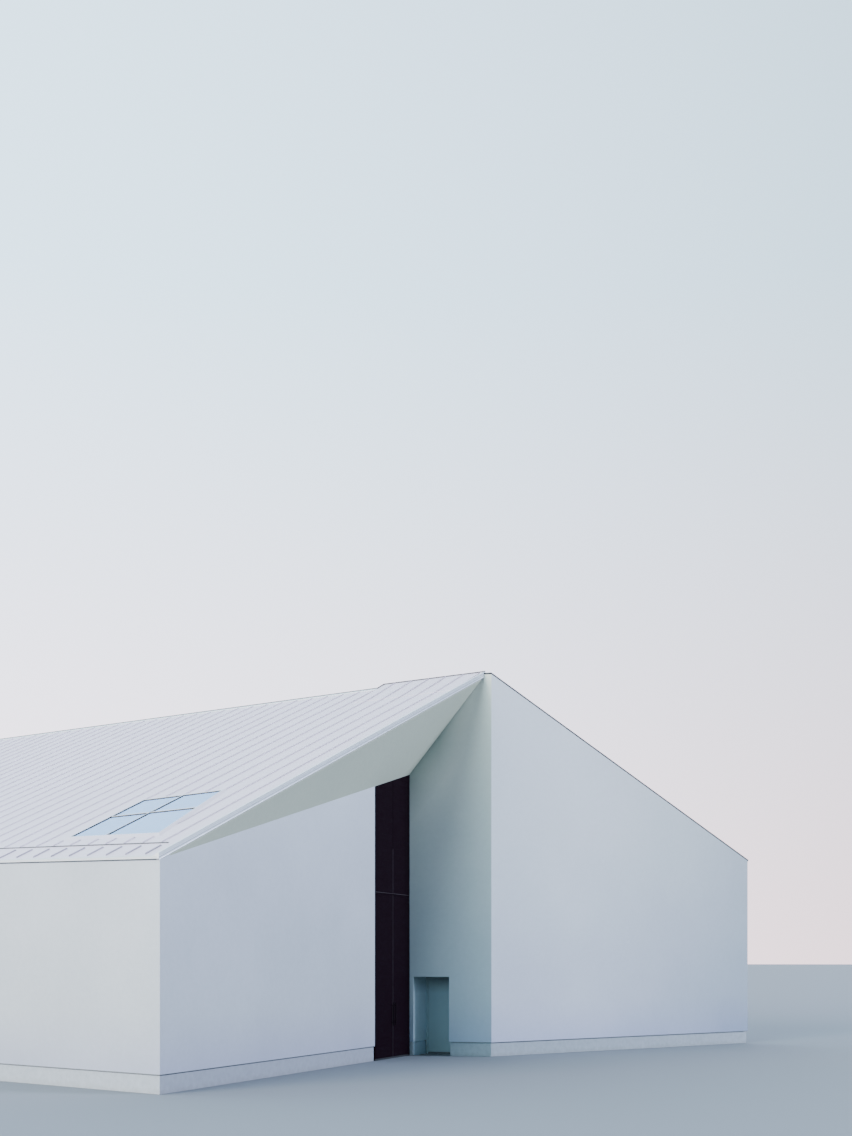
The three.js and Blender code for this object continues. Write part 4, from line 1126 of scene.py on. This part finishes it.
def face_of(node, along, out):
    """A node's outer face: its first and last place along the wall, its foot, head and depth, its points."""
    places = [v.co for v in nodes[node].data.vertices]
    depth = max(p.dot(out) for p in places)
    points = [p for p in places if p.dot(out) > depth - SAME_FACE]
    return {"first": min(p.dot(along) for p in points), "last": max(p.dot(along) for p in points),
            "foot": min(p.z for p in points), "head": max(p.z for p in points), "depth": depth,
            "points": points}


def on_portal(place, depth, z):
    """A point from its place along the portal's wall, its depth out of it, and its height."""
    return portal_along * place + portal_out * depth + UP * z


def circle(radius, sides):
    """A round profile."""
    turns = [2 * math.pi * i / sides for i in range(sides)]
    return [(radius * math.cos(turn), radius * math.sin(turn)) for turn in turns]


def add_boards(mesh, face, high):
    """Cladding boards across a leaf, one above the other up to a height."""
    z = face["foot"] + BOARD_MARGIN
    while z < high - 2 * BOARD_JOINT:
        tall = min(BOARD_PITCH - BOARD_JOINT, high - z)
        profile = [(BOARD_BACK, 0), (BOARD_PROUD - BOARD_BEVEL, 0), (BOARD_PROUD, BOARD_BEVEL),
                   (BOARD_PROUD, tall - BOARD_BEVEL), (BOARD_PROUD - BOARD_BEVEL, tall), (BOARD_BACK, tall)]
        add_bar(mesh, profile, on_portal(face["first"] + BOARD_MARGIN, face["depth"], z),
                on_portal(face["last"] - BOARD_MARGIN, face["depth"], z), portal_out, UP)
        z += BOARD_PITCH


def keep_below(mesh, point, normal):
    """Cuts away and closes what lies beyond a plane."""
    everything = mesh.verts[:] + mesh.edges[:] + mesh.faces[:]
    cut = bmesh.ops.bisect_plane(mesh, geom=everything, plane_co=point, plane_no=normal, clear_outer=True)
    edges = [e for e in cut["geom_cut"] if isinstance(e, bmesh.types.BMEdge)]
    bmesh.ops.edgeloop_fill(mesh, edges=edges)


strip_half = STRIP_WIDE / 2
meeting_profile = mirrored([(strip_half, 0), (strip_half, STRIP_PROUD - STRIP_EDGE),
                            (strip_half - STRIP_EDGE, STRIP_PROUD)])
for leaf, body, meeting in (("portal_left_leaf", "portal_left_door", 1),
                            ("portal_right_leaf", "portal_right_door", -1)):
    face = face_of(leaf, portal_along, portal_out)
    boards = bmesh.new()
    add_boards(boards, face, face["head"] - BOARD_MARGIN)
    make_piece(leaf + "_boards", boards, portal_finish, body)
    edge = face["last"] if meeting > 0 else face["first"]
    middle = edge - meeting * (STRIP_GAP + strip_half)
    strip = bmesh.new()
    add_bar(strip, meeting_profile, on_portal(middle, face["depth"], face["foot"] + STRIP_EDGE),
            on_portal(middle, face["depth"], face["head"] - STRIP_EDGE), portal_along, portal_out)
    make_piece(leaf + "_meeting_strip", strip, strip_finish, body)
    grip = edge - meeting * PULL_IN
    grip_depth = face["depth"] + PULL_OUT
    pull = bmesh.new()
    add_bar(pull, circle(PULL_RADIUS, PULL_SIDES), on_portal(grip, grip_depth, PULL_LOW),
            on_portal(grip, grip_depth, PULL_HIGH), portal_along, portal_out)
    for z in (PULL_LOW + POST_IN, PULL_HIGH - POST_IN):
        add_bar(pull, circle(POST_RADIUS, PULL_SIDES), on_portal(grip, face["depth"], z),
                on_portal(grip, grip_depth, z), portal_along, UP)
    make_piece(leaf + "_pull", pull, pull_metal, body)

left_panel = face_of("portal_left_upper_panel", portal_along, portal_out)
right_panel = face_of("portal_right_upper_panel", portal_along, portal_out)
for panel, face in (("portal_left_upper_panel", left_panel), ("portal_right_upper_panel", right_panel)):
    by_height = sorted(face["points"], key=lambda p: -p.z)
    head_low = next(p for p in by_height if p.dot(portal_along) < face["first"] + SAME_FACE)
    head_high = next(p for p in by_height if p.dot(portal_along) > face["last"] - SAME_FACE)
    boards = bmesh.new()
    add_boards(boards, face, head_high.z)
    head_normal = portal_out.cross((head_high - head_low).normalized())
    if head_normal.z < 0:
        head_normal = -head_normal
    keep_below(boards, head_low - UP * BOARD_MARGIN, head_normal)
    make_piece(panel + "_boards", boards, portal_finish)

middle = (left_panel["last"] + right_panel["first"]) / 2
upper_foot = left_panel["foot"]
upper_depth = left_panel["depth"]
cover = bmesh.new()
cover_profile = mirrored([(STRIP_WIDE, BOARD_BACK), (STRIP_WIDE, STRIP_PROUD)])
add_bar(cover, cover_profile, on_portal(middle, upper_depth, upper_foot + COVER_FROM),
        on_portal(middle, upper_depth, upper_foot + COVER_TO), portal_along, portal_out)
make_piece("portal_cover_strip", cover, strip_finish)

transom_drip = bmesh.new()
add_bar(transom_drip, TRANSOM_PROFILE, on_portal(left_panel["first"], upper_depth, upper_foot - TRANSOM_DROP),
        on_portal(right_panel["last"], upper_depth, upper_foot - TRANSOM_DROP), portal_out, UP)
make_piece("portal_transom_drip", transom_drip, transom_metal)


# Side door
# A flush leaf and frame of painted steel at the back of the recess, darker near the head as painted shade.
# The lever and the lock are stainless steel, screwed to the leaf.
DOOR_TONE = (0.33, 0.505, 0.55, 1)
DOOR_HEAD_SHADE_TONE = (0.18, 0.25, 0.235, 1)
STEEL_TONE = (0.55, 0.56, 0.57, 1)
LEVER_HIGH = 1.05
LEVER_IN = 0.065
LEVER_LONG = 0.125
LEVER_OUT = 0.05
LOCK_HIGH = 0.96
LOCK_OUT = 0.011
ROSE_RADIUS = 0.026
ROSE_SPAN = (-0.001, 0.008)
ROD_RADIUS = 0.009
ROD_FROM = 0.006
LEVER_SIDES = 20

door_paint = coated_metal("door_paint", DOOR_TONE, roughness=0.5, metallic=0.0)
# Painted shade: the paint is darker within reach of the recess head.
door_head_shade = spread(place_axis(door_paint, "Z"), recess_head - HEAD_SHADE_REACH, recess_head)
colour_with(door_paint, mix_tones(door_head_shade, tone_of(door_paint), DOOR_HEAD_SHADE_TONE))
finish_nodes(("side_door_frame", "side_door_leaf"), door_paint)

door_face = face_of("side_door_leaf", porch_along, porch_out)
spindle = door_face["last"] - LEVER_IN


def on_door(place, out, z):
    """A point from its place along the porch wall, its depth out of the door's leaf, and its height."""
    return porch_along * place + porch_out * (door_face["depth"] + out) + UP * z


steel = coated_metal("lever_steel", STEEL_TONE, roughness=0.3, metallic=1.0)
lever = bmesh.new()
for z, rod_end in ((LEVER_HIGH, LEVER_OUT), (LOCK_HIGH, LOCK_OUT)):
    for radius, inner, outer in ((ROSE_RADIUS, *ROSE_SPAN), (ROD_RADIUS, ROD_FROM, rod_end)):
        add_bar(lever, circle(radius, LEVER_SIDES), on_door(spindle, inner, z), on_door(spindle, outer, z),
                porch_along, UP)
add_bar(lever, circle(ROD_RADIUS, LEVER_SIDES), on_door(spindle + ROD_RADIUS, LEVER_OUT, LEVER_HIGH),
        on_door(spindle - LEVER_LONG, LEVER_OUT, LEVER_HIGH), porch_out, UP)
make_piece("side_door_lever", lever, steel, "side_door")
